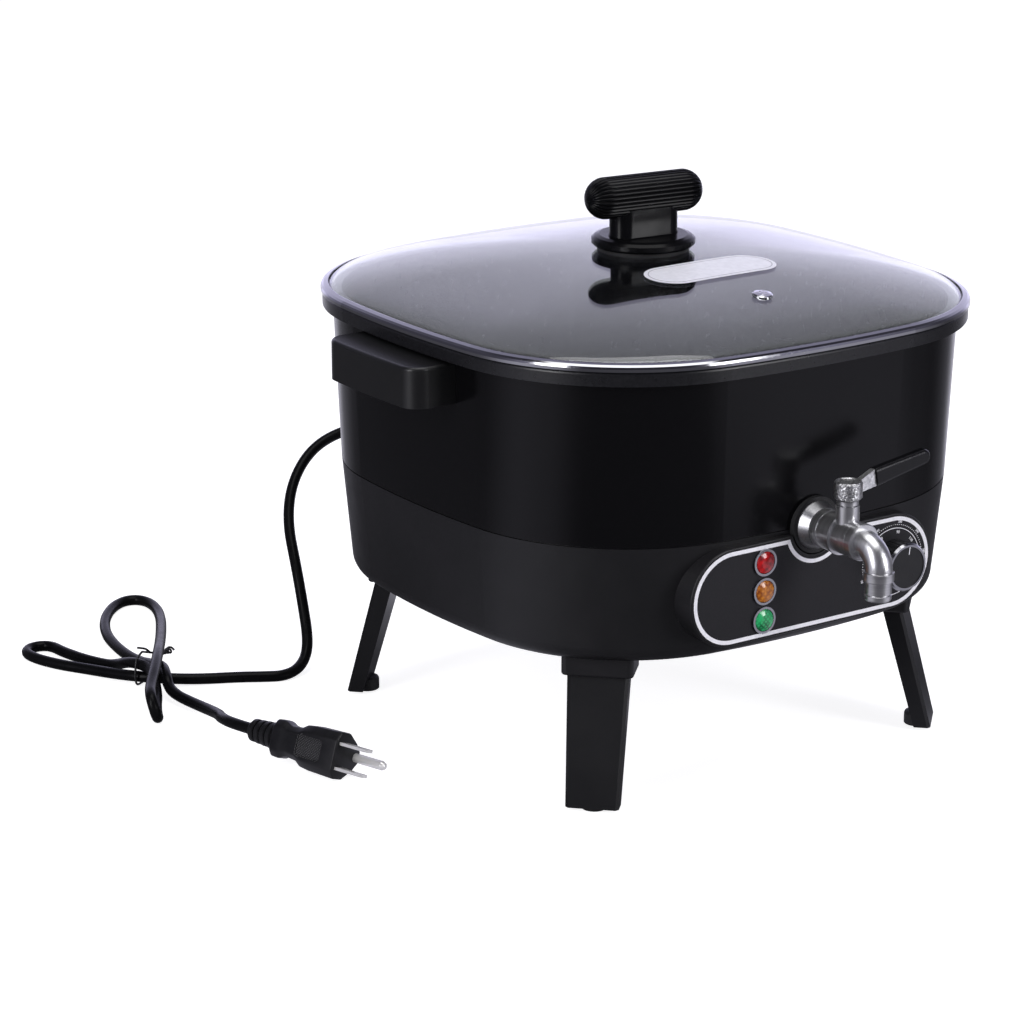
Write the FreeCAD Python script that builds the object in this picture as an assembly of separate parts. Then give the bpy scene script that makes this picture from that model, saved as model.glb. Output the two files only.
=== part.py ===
"""Electric candle wax melter: a rounded-square pot on a plastic base with four splayed
legs, a glass lid, a drain tap with a turning valve, a front control panel and a mains cord.
Millimetres, +Z up. The origin is on the ground below the centre of the pot, the control
panel faces -Y and the two side handles point along +X and -X."""
import FreeCAD, Part
import math
import os

V = FreeCAD.Vector
UP, DOWN = V(0, 0, 1), V(0, 0, -1)
FRONT, BACK = V(0, -1, 0), V(0, 1, 0)
RIGHT = V(1, 0, 0)

# ---- driving dimensions: the body, seen from above a square with round corners ----
side_bulge = 2.2            # how far the middle of a side stands out of a straight one
base_z = 76.0               # underside of the base
seam_z = 137.0              # joint between the base and the pot housing
flange_z = 226.4            # top of the pot's flange
seam_half, seam_corner = 141.3, 94.5      # half width and corner radius at the joint
corner_growth = 0.67        # how fast a corner's radius grows with the half width
base_draft = 5.1            # the base is narrower than the joint at its lower edge
housing_flare = 3.3         # the housing is wider than the joint at its top
flange_out = 4.6            # the pot's flange stands out of the housing
rim_out = 0.8               # the lid's rim stands out of the flange
fit = 0.1                   # clearance between pieces of one body
run = 0.3                   # clearance between pieces that move apart
base_half = seam_half - base_draft
top_half = seam_half + housing_flare
flange_half = top_half + flange_out
rim_half = flange_half + rim_out
through = 60.0              # length of a cut that must go right through a wall

# base, its cover and the housing above it
base_wall = 2.5
base_round = 9.0            # outside rounding along the lower edge
seam_gap = 0.6              # shadow line between base and housing
seam_depth = 1.2
cover_margin = 38.2         # from the base's lower edge to the opening in its floor
cover_half = base_half - cover_margin
cover_lap = 7.0             # how far the cover reaches past the opening it closes
cover_thick = 1.2
cover_head_r, cover_head_height, cover_thread_r = 3.6, 2.0, 1.6
vent_length, vent_width, vent_pitch, vent_count = 46.0, 4.0, 11.0, 7
housing_wall = 1.4
housing_ledge = 4.4         # inward flange that sits on the base
post_r = 6.0                # posts in the base that carry the pot
post_inset = 24.2
post_x, post_y = base_half - post_inset, 42.0
screw_r = 2.0
thread_depth = 8.0          # how far a pot screw reaches into its boss
head_r, head_height = 3.8, 2.4
counterbore = 6.0

# pot
pot_wall = 2.0
pot_gap = 3.6               # between the pot and the housing's outside, at the top
pot_draft = 6.0             # the pot narrows by this much down to its floor
pot_top_half = top_half - pot_gap
pot_floor_half = pot_top_half - pot_draft
pot_floor_z = 120.0         # underside of the pot's floor
pot_floor_thick = 2.4
pot_round = 6.0             # inside rounding along the floor
boss_height = 10.0
post_top = pot_floor_z - boss_height      # where the posts meet the bosses under the pot
flange_thick = 2.0
flange_skirt = 7.0          # height of the turned-down edge

# lid
glass_thick = 3.8
glass_inset = 1.2           # edge of the glass inside the rim
glass_lip = 0.75            # upright edge of the glass
glass_rise = 20.8           # from that edge to the flat crown
rim_wall = 0.6
rim_section = ((0.0, 0.0), (0.0, 1.4), (0.5, 2.4), (1.6, 3.2), (3.6, 3.8))
rim_foot = 6.5              # width of the rim's leg under the glass
vent_x, vent_inset = 2.5, 55.0
vent_r, vent_hole_r = 3.0, 0.55
vent_y = -(rim_half - vent_inset)
glass_edge_z = flange_z + run + rim_wall + 1.5 * fit      # underside of the glass at its edge
dome_curve = (              # shares of the way in to the crown and of the way up to it
    (0.0, 0.0), (0.0099, 0.0385), (0.0230, 0.0721), (0.0361, 0.149), (0.0558, 0.2115),
    (0.0887, 0.2837), (0.1379, 0.3654), (0.2036, 0.4615), (0.3021, 0.5721), (0.4171, 0.6827),
    (0.5484, 0.7885), (0.6962, 0.8846), (0.8440, 0.9519), (1.0, 1.0))

# lid knob
seal_r, seal_thick = 23.6, 2.4
crown_margin = 3.4          # flat glass round the seal
crown_half = seal_r + crown_margin
knob_base_r, knob_base_thick = 26.7, 5.6
stem_length, stem_width = 39.0, 17.0
barrel_r, barrel_length = 10.8, 67.0
barrel_up = 26.0            # barrel axis above the knob's base
barrel_ribs, rib_depth = 28, 0.75
knob_turn = -10.0
knob_screw_r, knob_thread = 2.5, 12.0
knob_washer_r, knob_washer_height = 7.0, 3.0

# legs, measured along the diagonals of the body
leg_inset = 12.1            # outer face at the socket's mouth, from the base's lower corner
leg_splay = 17.1            # the foot stands this much further out
leg_top_thick, leg_foot_thick = 10.0, 8.7
leg_top_width, leg_foot_width = 30.8, 26.6
leg_edge = 1.6              # chamfer along the outer edges
leg_foot_z = 2.0            # the pad carries the leg this far off the ground
leg_thread = 12.0
leg_screw_in = 0.5          # screw behind the middle of the leg
socket_height, socket_width = 10.0, 36.0
socket_inner, socket_outer = 31.3, 8.6    # from the base's lower corner
socket_top = 2.0            # thickness over the leg
pad_r, pad_height, pad_round = 6.6, 7.0, 1.5
leg_drop = base_z - socket_height

# control panel: a flat stadium that stands out of the front
panel_stand = 2.7
panel_face = seam_half + panel_stand      # its front plane, in front of the centre
panel_left, panel_right = -76.7, 74.5
panel_drop, panel_height = 2.6, 49.9
panel_high = seam_z - panel_drop
panel_low = panel_high - panel_height
panel_mid = (panel_low + panel_high) / 2
panel_wall = 2.4
fascia_inset = 1.3
fascia_thick = 1.0
fascia_out = 0.2            # the fascia stands this much out of the panel
notch_r = 17.3              # bay in the fascia round the tap
lamp_x, lamp_pitch = -32.4, 14.75
lens_r, bezel_r, bezel_thick = 5.6, 6.85, 1.2
lens_out = 2.4
lamp_body_r, lamp_body_length = 4.6, 4.4
clip_thick, tab_width = 1.2, 1.8
dial_x = 49.5
dial_r, dial_length, dial_gap = 12.5, 11.0, 0.6
dial_grips, grip_r = 24, 1.3
dial_skin = 3.0             # closed front of the knob
shaft_r, bush_r = 3.0, 4.5
shaft_flat = 1.5            # from the axis to the flat on the shaft

# tap, measured from its axis and outward from the panel's face
tap_rise = 0.5              # its axis above the joint of base and housing
tap_z = seam_z + tap_rise
tap_bore_r, pipe_bore_r = 4.0, 4.6
shank_r = 7.0
shank_reach, shank_chamfer = 10.0, 0.8    # into the pot
gasket_r, gasket_neck_r, gasket_reach = 14.3, 9.0, 8.0
nut_r, nut_thick, nut_gap = 11.2, 5.0, 3.0
cone_r, cone_small_r, cone_length = 12.3, 9.8, 5.4
barrel_tap_r, barrel_tap_length = 9.7, 12.9
collar_r, collar_length = 10.2, 1.6
chamber_r, chamber_length = 8.9, 10.6
union_r, union_length = 9.2, 5.2
pipe_r = 6.7
elbow_r = 11.2
spout_out = 47.2
spout_y = panel_face + spout_out
outlet_r, outlet_collar_r = 6.55, 7.5
outlet_drop, outlet_top_drop, outlet_step_drop = 25.5, 11.2, 15.9
outlet_z = tap_z - outlet_drop
outlet_top_z = tap_z - outlet_top_drop
outlet_step_z = tap_z - outlet_step_drop
outlet_bore_r, spigot_r = 4.8, 5.8
stem_out = 23.0
stem_y = panel_face + stem_out
valve_r, valve_port_r, valve_stem_r = 4.6, 3.2, 2.4
valve_foot = 1.5            # plug below the edge of its port
neck_r, neck_rise = 5.75, 16.0
neck_top_z = tap_z + neck_rise
bonnet_r, bonnet_height = 5.3, 3.0
cap_r, cap_height, cap_gap = 7.0, 8.6, 0.4
lever_rise = 10.0           # degrees
lever_start, lever_end = 16.0, 50.0
lever_height, lever_tip_height, lever_thick = 9.4, 7.6, 5.6
bracket_thick = 3.2
tang_half, tang_thick, tang_short = 2.2, 2.4, 8.0

# side handles
handle_reach, handle_half = 23.4, 40.0
handle_out = top_half + handle_reach
handle_root = top_half - 34.6             # blanks start here, inside the housing
handle_drop, handle_height = 8.4, 20.5
handle_high = flange_z - handle_drop
handle_low = handle_high - handle_height
handle_corner, handle_round, handle_bow = 10.0, 1.8, 0.7
handle_skin, handle_roof = 3.0, 4.0
handle_pad = 5.0            # thickness against the pot housing
handle_screw_y, handle_screw_rise, handle_screw_r = 26.0, 10.0, 2.0
handle_screw_z = handle_low + handle_screw_rise
handle_head_r, handle_head_height = 4.2, 1.2

# heater and controls inside the base
plate_inset = 37.0
plate_r, plate_thick = pot_floor_half - plate_inset, 6.0
ring_inset = 24.0
tube_ring_r, tube_r, tube_open = plate_r - ring_inset, 4.0, 40.0
pin_r, pin_length = 1.6, 12.0
strap_over, strap_width, strap_thick = 11.0, 18.0, 1.6
strap_length = 2 * (tube_ring_r + strap_over)
stud_r, stud_over = 3.0, 6.0
strap_nut_r, strap_nut_thick = 5.4, 3.2
thermostat_size = (34.0, 18.0, 24.0)
thermostat_rise = 9.0       # its top above the shaft
thermostat_setback = 14.5   # its front behind the fascia
fuse_r, fuse_length, fuse_y = 3.2, 22.0, -45.0
bulb_r, bulb_length, bulb_x, bulb_y = 3.0, 60.0, 20.0, -20.0
capillary_r, capillary_drop, capillary_lead = 0.9, 8.0, 12.0
capillary_bends = ((0.10, 0.33, 1.0), (0.41, 0.53, -1.0), (0.81, 0.66, 0.0))
block_size = (16.0, 46.0, 14.0)
block_x, block_setback = -60.0, 56.0
block_ways, block_hole_r, block_floor = 3, 2.2, 3.0

# mains cord, from the gland to the plug; the first and last runs are straight
cord_r = 3.0
CORD_POINTS = [
    (-30.0, 160.0, 114.0), (-30.0, 179.5, 114.0), (-36.5, 199.0, 114.5), (-51.0, 212.5, 111.5),
    (-70.0, 216.0, 103.0), (-87.5, 209.0, 88.0), (-98.5, 196.5, 69.5), (-105.1, 176.2, 49.0),
    (-108.0, 165.4, 31.5), (-111.4, 155.1, 17.0), (-116.2, 148.5, 8.2), (-125.6, 141.9, 3.9),
    (-136.5, 139.1, 3.0), (-146.1, 144.2, 3.0), (-157.6, 151.4, 3.0), (-170.5, 157.2, 3.1),
    (-181.9, 162.2, 3.6), (-193.4, 168.3, 4.5), (-204.5, 177.1, 5.2), (-212.1, 192.6, 3.9),
    (-219.9, 210.4, 3.0), (-227.5, 222.8, 3.0), (-232.9, 235.5, 3.0), (-235.2, 245.1, 3.0),
    (-234.6, 253.0, 3.0), (-230.9, 257.6, 3.0), (-225.4, 259.0, 3.0), (-220.2, 257.2, 3.0),
    (-217.6, 252.0, 3.0), (-217.4, 244.8, 3.0), (-215.0, 231.4, 3.0), (-211.9, 220.8, 3.0),
    (-207.1, 208.8, 3.2), (-204.9, 200.0, 5.8), (-204.7, 191.1, 9.4), (-204.1, 183.0, 11.3),
    (-202.7, 177.1, 11.6), (-202.3, 170.1, 11.4), (-205.4, 160.3, 10.4), (-207.7, 153.3, 6.4),
    (-210.9, 146.6, 3.4), (-216.3, 137.6, 3.0), (-221.8, 127.2, 3.0), (-225.1, 119.5, 3.0),
    (-227.9, 116.6, 6.8), (-229.1, 117.5, 12.3), (-228.1, 121.6, 16.1), (-221.3, 134.2, 16.1),
    (-208.1, 152.9, 18.0), (-195.3, 173.0, 17.8), (-179.2, 199.8, 13.5), (-161.1, 231.7, 7.6),
    (-145.7, 260.0, 3.8), (-137.9, 278.9, 3.0), (-136.1, 292.6, 3.0), (-140.0, 300.6, 3.0),
    (-148.5, 301.6, 3.0), (-160.5, 293.2, 3.0), (-173.9, 275.8, 3.0), (-183.9, 254.2, 3.0),
    (-188.7, 233.9, 3.0), (-191.3, 215.2, 3.4), (-191.6, 199.6, 4.4), (-191.5, 186.0, 7.2),
    (-194.0, 169.8, 11.3), (-199.9, 155.8, 10.9), (-201.8, 149.7, 6.4), (-201.8, 141.0, 4.8),
    (-200.4, 129.4, 4.4), (-199.7, 113.6, 5.2), (-201.8, 96.0, 7.8), (-207.2, 84.0, 10.6),
    (-209.0, 69.4, 12.5), (-204.9, 56.0, 12.5)]
gland_flange_r, gland_flange_thick, gland_neck_r, boot_r = 9.0, 2.5, 6.0, 5.6
gland_grip, gland_catch = 4.0, 1.2        # inside the base's wall
gland_seat = 1.5            # the flange is sunk this far into the wall
gland_x, gland_end, gland_z = CORD_POINTS[0]
tie_r, tie_bend = 0.7, 2.0
tie_x, tie_y, tie_turn = -200.5, 180.6, 34.8    # middle of the tied bundle and the loop's direction
TIE_LOOP = [(-7.6, 0.8), (-9.8, 6.0), (-8.2, 14.8), (-1.0, 17.6), (13.4, 12.4), (17.4, 6.0), (14.6, 0.8)]

# plug, measured from the end of the cord along its axis
plug_boot_length, plug_rings = 18.0, 4
plug_boot_r, plug_ring_pitch, plug_ring_width = 5.6, 4.1, 2.3
plug_roll = 20.5            # degrees the plug is rolled about its axis
plug_outline = ((-9.0, 7.9), (-6.0, 12.0), (1.0, 12.0), (8.0, 7.0), (11.5, 3.0))
plug_sections = (           # distance and share of the outline
    (18.0, 0.62), (19.4, 0.74), (24.4, 0.78), (29.0, 0.74), (30.4, 0.65), (34.3, 0.68),
    (41.0, 0.94), (63.0, 1.0))
plug_face = plug_sections[-1][0]
blade_pitch, blade_width, blade_thick, blade_length = 12.7, 6.35, 1.5, 17.5
blade_shift = -3.4          # blades off the cord's axis
earth_r, earth_length, earth_offset = 2.4, 20.0, 11.9


def outline(half, corner, z, bulge=side_bulge):
    """Rounded square of four long side arcs and four corner arcs, at height z."""
    c = half - corner - bulge
    side_r = (corner ** 2 - c ** 2 - (c - half) ** 2) / (2 * (c - half + corner))
    turn = math.atan2(c, c - (half - side_r))

    def side_arc(quarter):
        pts = [V(half - side_r + side_r * math.cos(a), side_r * math.sin(a), z) for a in (-turn, 0, turn)]
        return [rotated_point(p, quarter) for p in pts]

    def corner_arc(quarter):
        span = (turn, math.pi / 4, math.pi / 2 - turn)
        pts = [V(c + corner * math.cos(a), c + corner * math.sin(a), z) for a in span]
        return [rotated_point(p, quarter) for p in pts]

    edges = []
    for quarter in range(4):
        edges.append(Part.Arc(*side_arc(quarter)).toShape())
        edges.append(Part.Arc(*corner_arc(quarter)).toShape())
    return Part.Wire(edges)


def rotated_point(p, quarter):
    a = quarter * math.pi / 2
    return V(p.x * math.cos(a) - p.y * math.sin(a), p.x * math.sin(a) + p.y * math.cos(a), p.z)


def corner_of(half):
    """Corner radius of the body's outline at a given half width."""
    return seam_corner + corner_growth * (half - seam_half)


def square(half, inset, z):
    """Ring for a loft: the outline of a half width, inset all round."""
    return half - inset, corner_of(half) - inset, z


def side_x(half, y):
    """How far the outline's right side stands from the middle at an offset y."""
    corner = corner_of(half)
    c = half - corner - side_bulge
    side_r = (corner ** 2 - c ** 2 - (c - half) ** 2) / (2 * (c - half + corner))
    return half - side_r + math.sqrt(side_r ** 2 - y ** 2)


def diagonal_reach(half):
    """Distance from the middle to the outline along a diagonal."""
    corner = corner_of(half)
    return (half - corner - side_bulge) * math.sqrt(2) + corner


def loft(rings, ruled=True):
    """Solid through (half, corner, z) outlines."""
    return Part.makeLoft([outline(*ring) for ring in rings], True, ruled)


def slab(half, inset, low, high):
    """Upright prism of the outline of a half width, inset all round."""
    return Part.Face(outline(*square(half, inset, low))).extrude(V(0, 0, high - low))


def half_at(z):
    """Half width of the outside of base and housing at height z."""
    if z <= seam_z:
        return base_half + (z - base_z) / (seam_z - base_z) * base_draft
    return seam_half + (z - seam_z) / (flange_z - seam_z) * housing_flare


def body_solid(low, high, inset):
    """The body between two heights, inset from its outside."""
    heights = (low, seam_z, high) if low < seam_z < high else (low, high)
    return loft([square(half_at(z), inset, z) for z in heights])


def pot_half_at(z):
    return pot_floor_half + (z - pot_floor_z) / (flange_z - pot_floor_z) * pot_draft


def pot_solid(low, high, inset):
    return loft([square(pot_half_at(z), inset, z) for z in (low, high)])


def round_lower_edge(solid, z, radius):
    edges = [e for e in solid.Edges if abs(e.BoundBox.ZMin - z) < 1e-3 and abs(e.BoundBox.ZMax - z) < 1e-3]
    return solid.makeFillet(radius, edges)


def cylinder(r, length, base, axis):
    return Part.makeCylinder(r, length, base, axis)


def tube(outer_r, inner_r, length, base, axis):
    return cylinder(outer_r, length, base, axis).cut(cylinder(inner_r, length, base, axis))


def turned(profile, base, axis):
    """Solid of revolution from (radius, distance along the axis) points."""
    side = RIGHT if abs(axis.dot(RIGHT)) < 0.5 else UP
    pts = [base + side * r + axis * t for r, t in profile]
    return Part.Face(Part.makePolygon(pts + pts[:1])).revolve(base, axis, 360)


def box(x0, x1, y0, y1, z0, z1):
    return Part.makeBox(x1 - x0, y1 - y0, z1 - z0, V(x0, y0, z0))


def fuse(shapes):
    whole = shapes[0].fuse(list(shapes[1:])) if len(shapes) > 1 else shapes[0]
    return whole.removeSplitter()


def stadium(left, right, low, high, y, depth):
    """Flat plate with round ends in the XZ plane, from y towards +Y."""
    r, mid = (high - low) / 2, (low + high) / 2
    a, b = V(left + r, y, high), V(right - r, y, high)
    c, d = V(right - r, y, low), V(left + r, y, low)
    edges = [Part.LineSegment(a, b), Part.Arc(b, V(right, y, mid), c)]
    edges += [Part.LineSegment(c, d), Part.Arc(d, V(left, y, mid), a)]
    return Part.Face(Part.Wire([e.toShape() for e in edges])).extrude(V(0, depth, 0))


def diagonal(shape, quarter):
    """Turns a shape built on the +X axis onto one of the four diagonals."""
    turned_shape = shape.copy()
    turned_shape.rotate(V(0, 0, 0), UP, 45 + 90 * quarter)
    return turned_shape


# ---- base ----

def tap_passage(radius):
    return cylinder(radius, through, V(0, -(panel_face + 20), tap_z), BACK)


def post_points():
    return [(sx * post_x, sy * post_y) for sx in (-1, 1) for sy in (-1, 1)]


def base_shell():
    """Moulded tray with a stepped lip and posts for the pot."""
    ledge_half = half_at(seam_z)
    outside = body_solid(base_z, seam_z - seam_gap / 2, 0)
    outside = round_lower_edge(outside, base_z, base_round)
    lip = slab(ledge_half, seam_depth, seam_z - 3, seam_z + seam_gap / 2)
    inside = body_solid(base_z + base_wall, seam_z + 5, base_wall + 0.6)
    shell = outside.fuse(lip).cut(inside)
    shell = shell.cut(slab(cover_half, 0, base_z - 1, base_z + base_wall + 1))
    post_height = post_top - base_z - 1
    shell = shell.fuse([cylinder(post_r, post_height, V(x, y, base_z + 1), UP) for x, y in post_points()])
    for x, y in post_points():
        shell = shell.cut(cylinder(screw_r + fit, through, V(x, y, base_z - 5), UP))
        shell = shell.cut(cylinder(head_r + 3 * fit, counterbore + 5, V(x, y, base_z - 5), UP))
    window = panel_cavity(-(panel_face + 5), 40, panel_wall + 0.2).cut(tap_passage(gasket_r + 1.5))
    shell = shell.cut(window).cut(tap_passage(gasket_neck_r + fit))
    shell = shell.cut(cylinder(gland_neck_r + fit, 40, V(gland_x, base_half - 20, gland_z), BACK))
    for quarter in range(4):
        hole = cylinder(screw_r + fit, 20, V(leg_screw_k(), 0, base_z - 5), UP)
        shell = shell.cut(diagonal(hole, quarter))
    for x, y in cover_screw_points():
        shell = shell.cut(cylinder(cover_thread_r, 20, V(x, y, base_z - 5), UP))
    return shell.removeSplitter()


def cover_screw_points():
    reach = cover_half + cover_lap / 2
    return [(reach, 0), (0, reach), (-reach, 0), (0, -reach)]


def base_cover():
    plate = slab(cover_half, -cover_lap, base_z - cover_thick, base_z)
    first = -(vent_count - 1) / 2 * vent_pitch
    for i in range(vent_count):
        slot = stadium_up(vent_length, vent_width, V(0, first + i * vent_pitch, base_z - 5), 10)
        plate = plate.cut(slot)
    for x, y in cover_screw_points():
        plate = plate.cut(cylinder(screw_r, 10, V(x, y, base_z - 5), UP))
    return plate


def stadium_up(length, width, centre, height):
    """Vertical prism with round ends along X."""
    r, half = width / 2, (length - width) / 2
    a, b = centre + V(-half, r, 0), centre + V(half, r, 0)
    c, d = centre + V(half, -r, 0), centre + V(-half, -r, 0)
    edges = [Part.LineSegment(a, b), Part.Arc(b, centre + V(half + r, 0, 0), c),
             Part.LineSegment(c, d), Part.Arc(d, centre + V(-half - r, 0, 0), a)]
    return Part.Face(Part.Wire([e.toShape() for e in edges])).extrude(V(0, 0, height))


def screw(head, rise, shank, length, base, axis):
    """Pan-head screw: the head stands on base, the shank runs along axis."""
    profile = [(0, -rise), (head * 0.6, -rise), (head, -rise * 0.4), (head, 0),
               (shank, 0), (shank, length), (0, length)]
    return turned(profile, base, axis)


def cover_screws():
    length = cover_thick + base_wall
    screws = []
    for x, y in cover_screw_points():
        seat = V(x, y, base_z - cover_thick)
        screws.append(screw(cover_head_r, cover_head_height, cover_thread_r, length, seat, UP))
    return Part.makeCompound(screws)


def pot_screws():
    """Long screws up through the base's posts into the bosses under the pot."""
    seat = base_z + counterbore
    length = post_top + thread_depth - seat
    return Part.makeCompound([screw(head_r, head_height, screw_r, length, V(x, y, seat), UP)
                              for x, y in post_points()])


# ---- pot and its painted housing ----

def pot_housing():
    low = seam_z + seam_gap / 2
    high = flange_z - flange_thick
    shell = body_solid(low, high, 0).cut(body_solid(low + housing_wall, high + 1, housing_wall))
    shell = shell.cut(slab(half_at(low), housing_ledge, low - 1, low + housing_wall + 1))
    for sx in (-1, 1):
        for sy in (-1, 1):
            start = V(sx * (top_half - 12), sy * handle_screw_y, handle_screw_z)
            shell = shell.cut(cylinder(handle_screw_r + fit, 20, start, RIGHT * sx))
    return shell.cut(tap_passage(gasket_neck_r + fit)).removeSplitter()


def inner_pot():
    under = flange_z - flange_thick
    skirt_z = flange_z - flange_skirt
    outside = round_lower_edge(pot_solid(pot_floor_z, flange_z, 0), pot_floor_z, pot_round + pot_wall)
    inside = round_lower_edge(pot_solid(pot_floor_z + pot_floor_thick, flange_z + 1, pot_wall),
                              pot_floor_z + pot_floor_thick, pot_round)
    lip = slab(flange_half, 0, skirt_z, flange_z)
    top_edges = [e for e in lip.Edges if abs(e.BoundBox.ZMin - flange_z) < 1e-3]
    lip = lip.makeFillet(flange_thick - 0.4, top_edges)
    lip = lip.cut(slab(flange_half, flange_thick, skirt_z - 1, under))
    boss = boss_height + 1
    bosses = [cylinder(post_r - 1, boss, V(x, y, post_top), UP) for x, y in post_points()]
    pot = outside.fuse(lip).fuse(bosses).cut(inside)
    for x, y in post_points():
        pot = pot.cut(cylinder(screw_r + fit / 2, thread_depth + 1, V(x, y, post_top - 0.5), UP))
    return pot.cut(tap_passage(shank_r + fit)).removeSplitter()


# ---- heater and controls inside the base ----

def heater_plate():
    plate = cylinder(plate_r, plate_thick, V(0, 0, pot_floor_z - plate_thick), UP)
    stud = cylinder(stud_r, tube_r * 2 + strap_thick + stud_over, V(0, 0, pot_floor_z - plate_thick), DOWN)
    return plate.fuse(stud).removeSplitter()


def heating_element():
    z = pot_floor_z - plate_thick - tube_r
    start = V(tube_ring_r, 0, z)
    section = Part.Face(Part.Wire(Part.makeCircle(tube_r, start, V(0, 1, 0))))
    ring = section.revolve(V(0, 0, z), UP, 360 - tube_open)
    ring.rotate(V(0, 0, 0), UP, 90 + tube_open / 2)
    pins = []
    for side in (-1, 1):
        a = math.radians(90 + side * tube_open / 2)
        end = V(tube_ring_r * math.cos(a), tube_ring_r * math.sin(a), z)
        away = V(math.sin(a) * side, -math.cos(a) * side, 0)
        pins.append(cylinder(pin_r, pin_length, end, away))
    return fuse([ring] + pins)


def heater_strap():
    top = pot_floor_z - plate_thick - 2 * tube_r
    nut_z = top - strap_thick - strap_nut_thick
    strap = stadium_up(strap_length, strap_width, V(0, 0, top - strap_thick), strap_thick)
    nut = hexagon(strap_nut_r, strap_nut_thick, V(0, 0, nut_z), UP)
    return strap.fuse(nut).cut(cylinder(stud_r + fit, 20, V(0, 0, top - 12), UP)).removeSplitter()


def hexagon(r, length, base, axis):
    side = RIGHT if abs(axis.dot(RIGHT)) < 0.5 else UP
    other = axis.cross(side)
    angles = [math.radians(60 * i) for i in range(6)]
    pts = [base + side * (r * math.cos(a)) + other * (r * math.sin(a)) for a in angles]
    return Part.Face(Part.makePolygon(pts + pts[:1])).extrude(axis * length)


def thermostat_back():
    """Distance in front of the centre of the thermostat's front face."""
    return panel_face - fascia_thick - thermostat_setback


def thermostat_body():
    width, depth, height = thermostat_size
    front = thermostat_back()
    top = panel_mid + thermostat_rise
    body = box(dial_x - width / 2, dial_x + width / 2, -front, -front + depth, top - height, top)
    bush = cylinder(bush_r, panel_face - front, V(dial_x, -front, panel_mid), FRONT)
    bore = cylinder(shaft_r + fit / 2, through, V(dial_x, -front + depth / 2, panel_mid), FRONT)
    return body.fuse(bush).cut(bore).removeSplitter()


def thermostat_shaft():
    back = thermostat_back() - 4.0
    front = panel_face + dial_gap + dial_length - dial_skin
    shaft = cylinder(shaft_r, front - back, V(dial_x, -back, panel_mid), FRONT)
    flat_z = panel_mid - shaft_flat
    flat = box(dial_x - 5, dial_x + 5, -front - 1, -front + 7, flat_z - shaft_r, flat_z)
    return shaft.cut(flat)


def thermal_fuse():
    z = pot_floor_z - plate_thick - fuse_r
    return cylinder(fuse_r, fuse_length, V(-fuse_length / 2, fuse_y, z), RIGHT)


def thermostat_bulb():
    """Sensing bulb under the heater plate with its capillary back to the thermostat."""
    z = pot_floor_z - plate_thick - bulb_r
    start = V(bulb_x, bulb_y, z)
    bulb = cylinder(bulb_r, bulb_length, start, BACK)
    low = panel_mid - capillary_drop
    end = V(dial_x, -thermostat_back() + thermostat_size[1], low)
    points = [start, start - V(0, 16, 0)]
    for across, along, up in capillary_bends:
        points.append(V(start.x + across * (end.x - start.x), start.y + along * (end.y - start.y), low + up))
    points += [end + V(0, capillary_lead, 0), end]
    return fuse([bulb, round_tube(points, capillary_r)])


def terminal_block():
    length, width, height = block_size
    base = V(block_x - length / 2, base_half - base_wall - block_setback, base_z + base_wall)
    block = Part.makeBox(length, width, height, base)
    for i in range(block_ways):
        top = base + V(length / 2, width * (i + 0.5) / block_ways, height)
        block = block.cut(cylinder(block_hole_r, height - block_floor, top, DOWN))
    return block


# ---- control panel ----

def panel_cavity(y, depth, inset):
    return stadium(panel_left + inset, panel_right - inset, panel_low + inset, panel_high - inset, y, depth)


def panel_housing():
    back = panel_face - fascia_thick - panel_wall
    block = panel_cavity(-panel_face, panel_face - base_half + 30, 0)
    edges = [e for e in block.Edges if e.BoundBox.YLength < 1e-3 and e.BoundBox.YMin < 1e-3 - panel_face]
    block = block.makeFillet(0.8, edges)
    block = block.cut(body_solid(base_z - 30, seam_z + 20, -fit / 2))
    hollow = panel_cavity(-back, through, panel_wall)
    ring = cylinder(notch_r + panel_wall - 2.0, through, V(0, -back, tap_z), BACK)
    block = block.cut(hollow.cut(ring))
    block = block.cut(tap_passage(gasket_r + 0.8))
    block = block.cut(fascia_solid(fit))
    for z in lamp_heights():
        block = block.cut(cylinder(lens_r + 2 * fit, 20, V(lamp_x, -panel_face - 5, z), BACK))
    hole = cylinder(bush_r + fit, 20, V(dial_x, -panel_face - 5, panel_mid), BACK)
    return block.cut(hole).removeSplitter()


def fascia_solid(grow):
    inset = fascia_inset - grow
    plate = panel_cavity(-panel_face - fascia_out, fascia_thick + fascia_out, inset)
    return plate.cut(cylinder(notch_r - 1.0 - grow, 20, V(0, -panel_face - 5, tap_z), BACK))


def lamp_heights():
    return [panel_mid + lamp_pitch, panel_mid, panel_mid - lamp_pitch]


def panel_fascia():
    plate = fascia_solid(0)
    for z in lamp_heights():
        plate = plate.cut(cylinder(lens_r + 2 * fit, 20, V(lamp_x, -panel_face - 5, z), BACK))
    return plate.cut(cylinder(bush_r + fit, 20, V(dial_x, -panel_face - 5, panel_mid), BACK))


def lens(z):
    seat = panel_face - fascia_thick - panel_wall
    front = panel_face + fascia_out + lens_out
    profile = [(0, seat), (lens_r, seat), (lens_r, front - 1.6), (lens_r * 0.9, front - 0.8),
               (lens_r * 0.55, front - 0.15), (0, front)]
    return turned(profile, V(lamp_x, 0, z), FRONT)


def lamp_bezels():
    rings = []
    for z in lamp_heights():
        rings.append(tube(bezel_r, lens_r + fit, bezel_thick, V(lamp_x, -panel_face - fascia_out, z), FRONT))
    return Part.makeCompound(rings)


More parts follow.
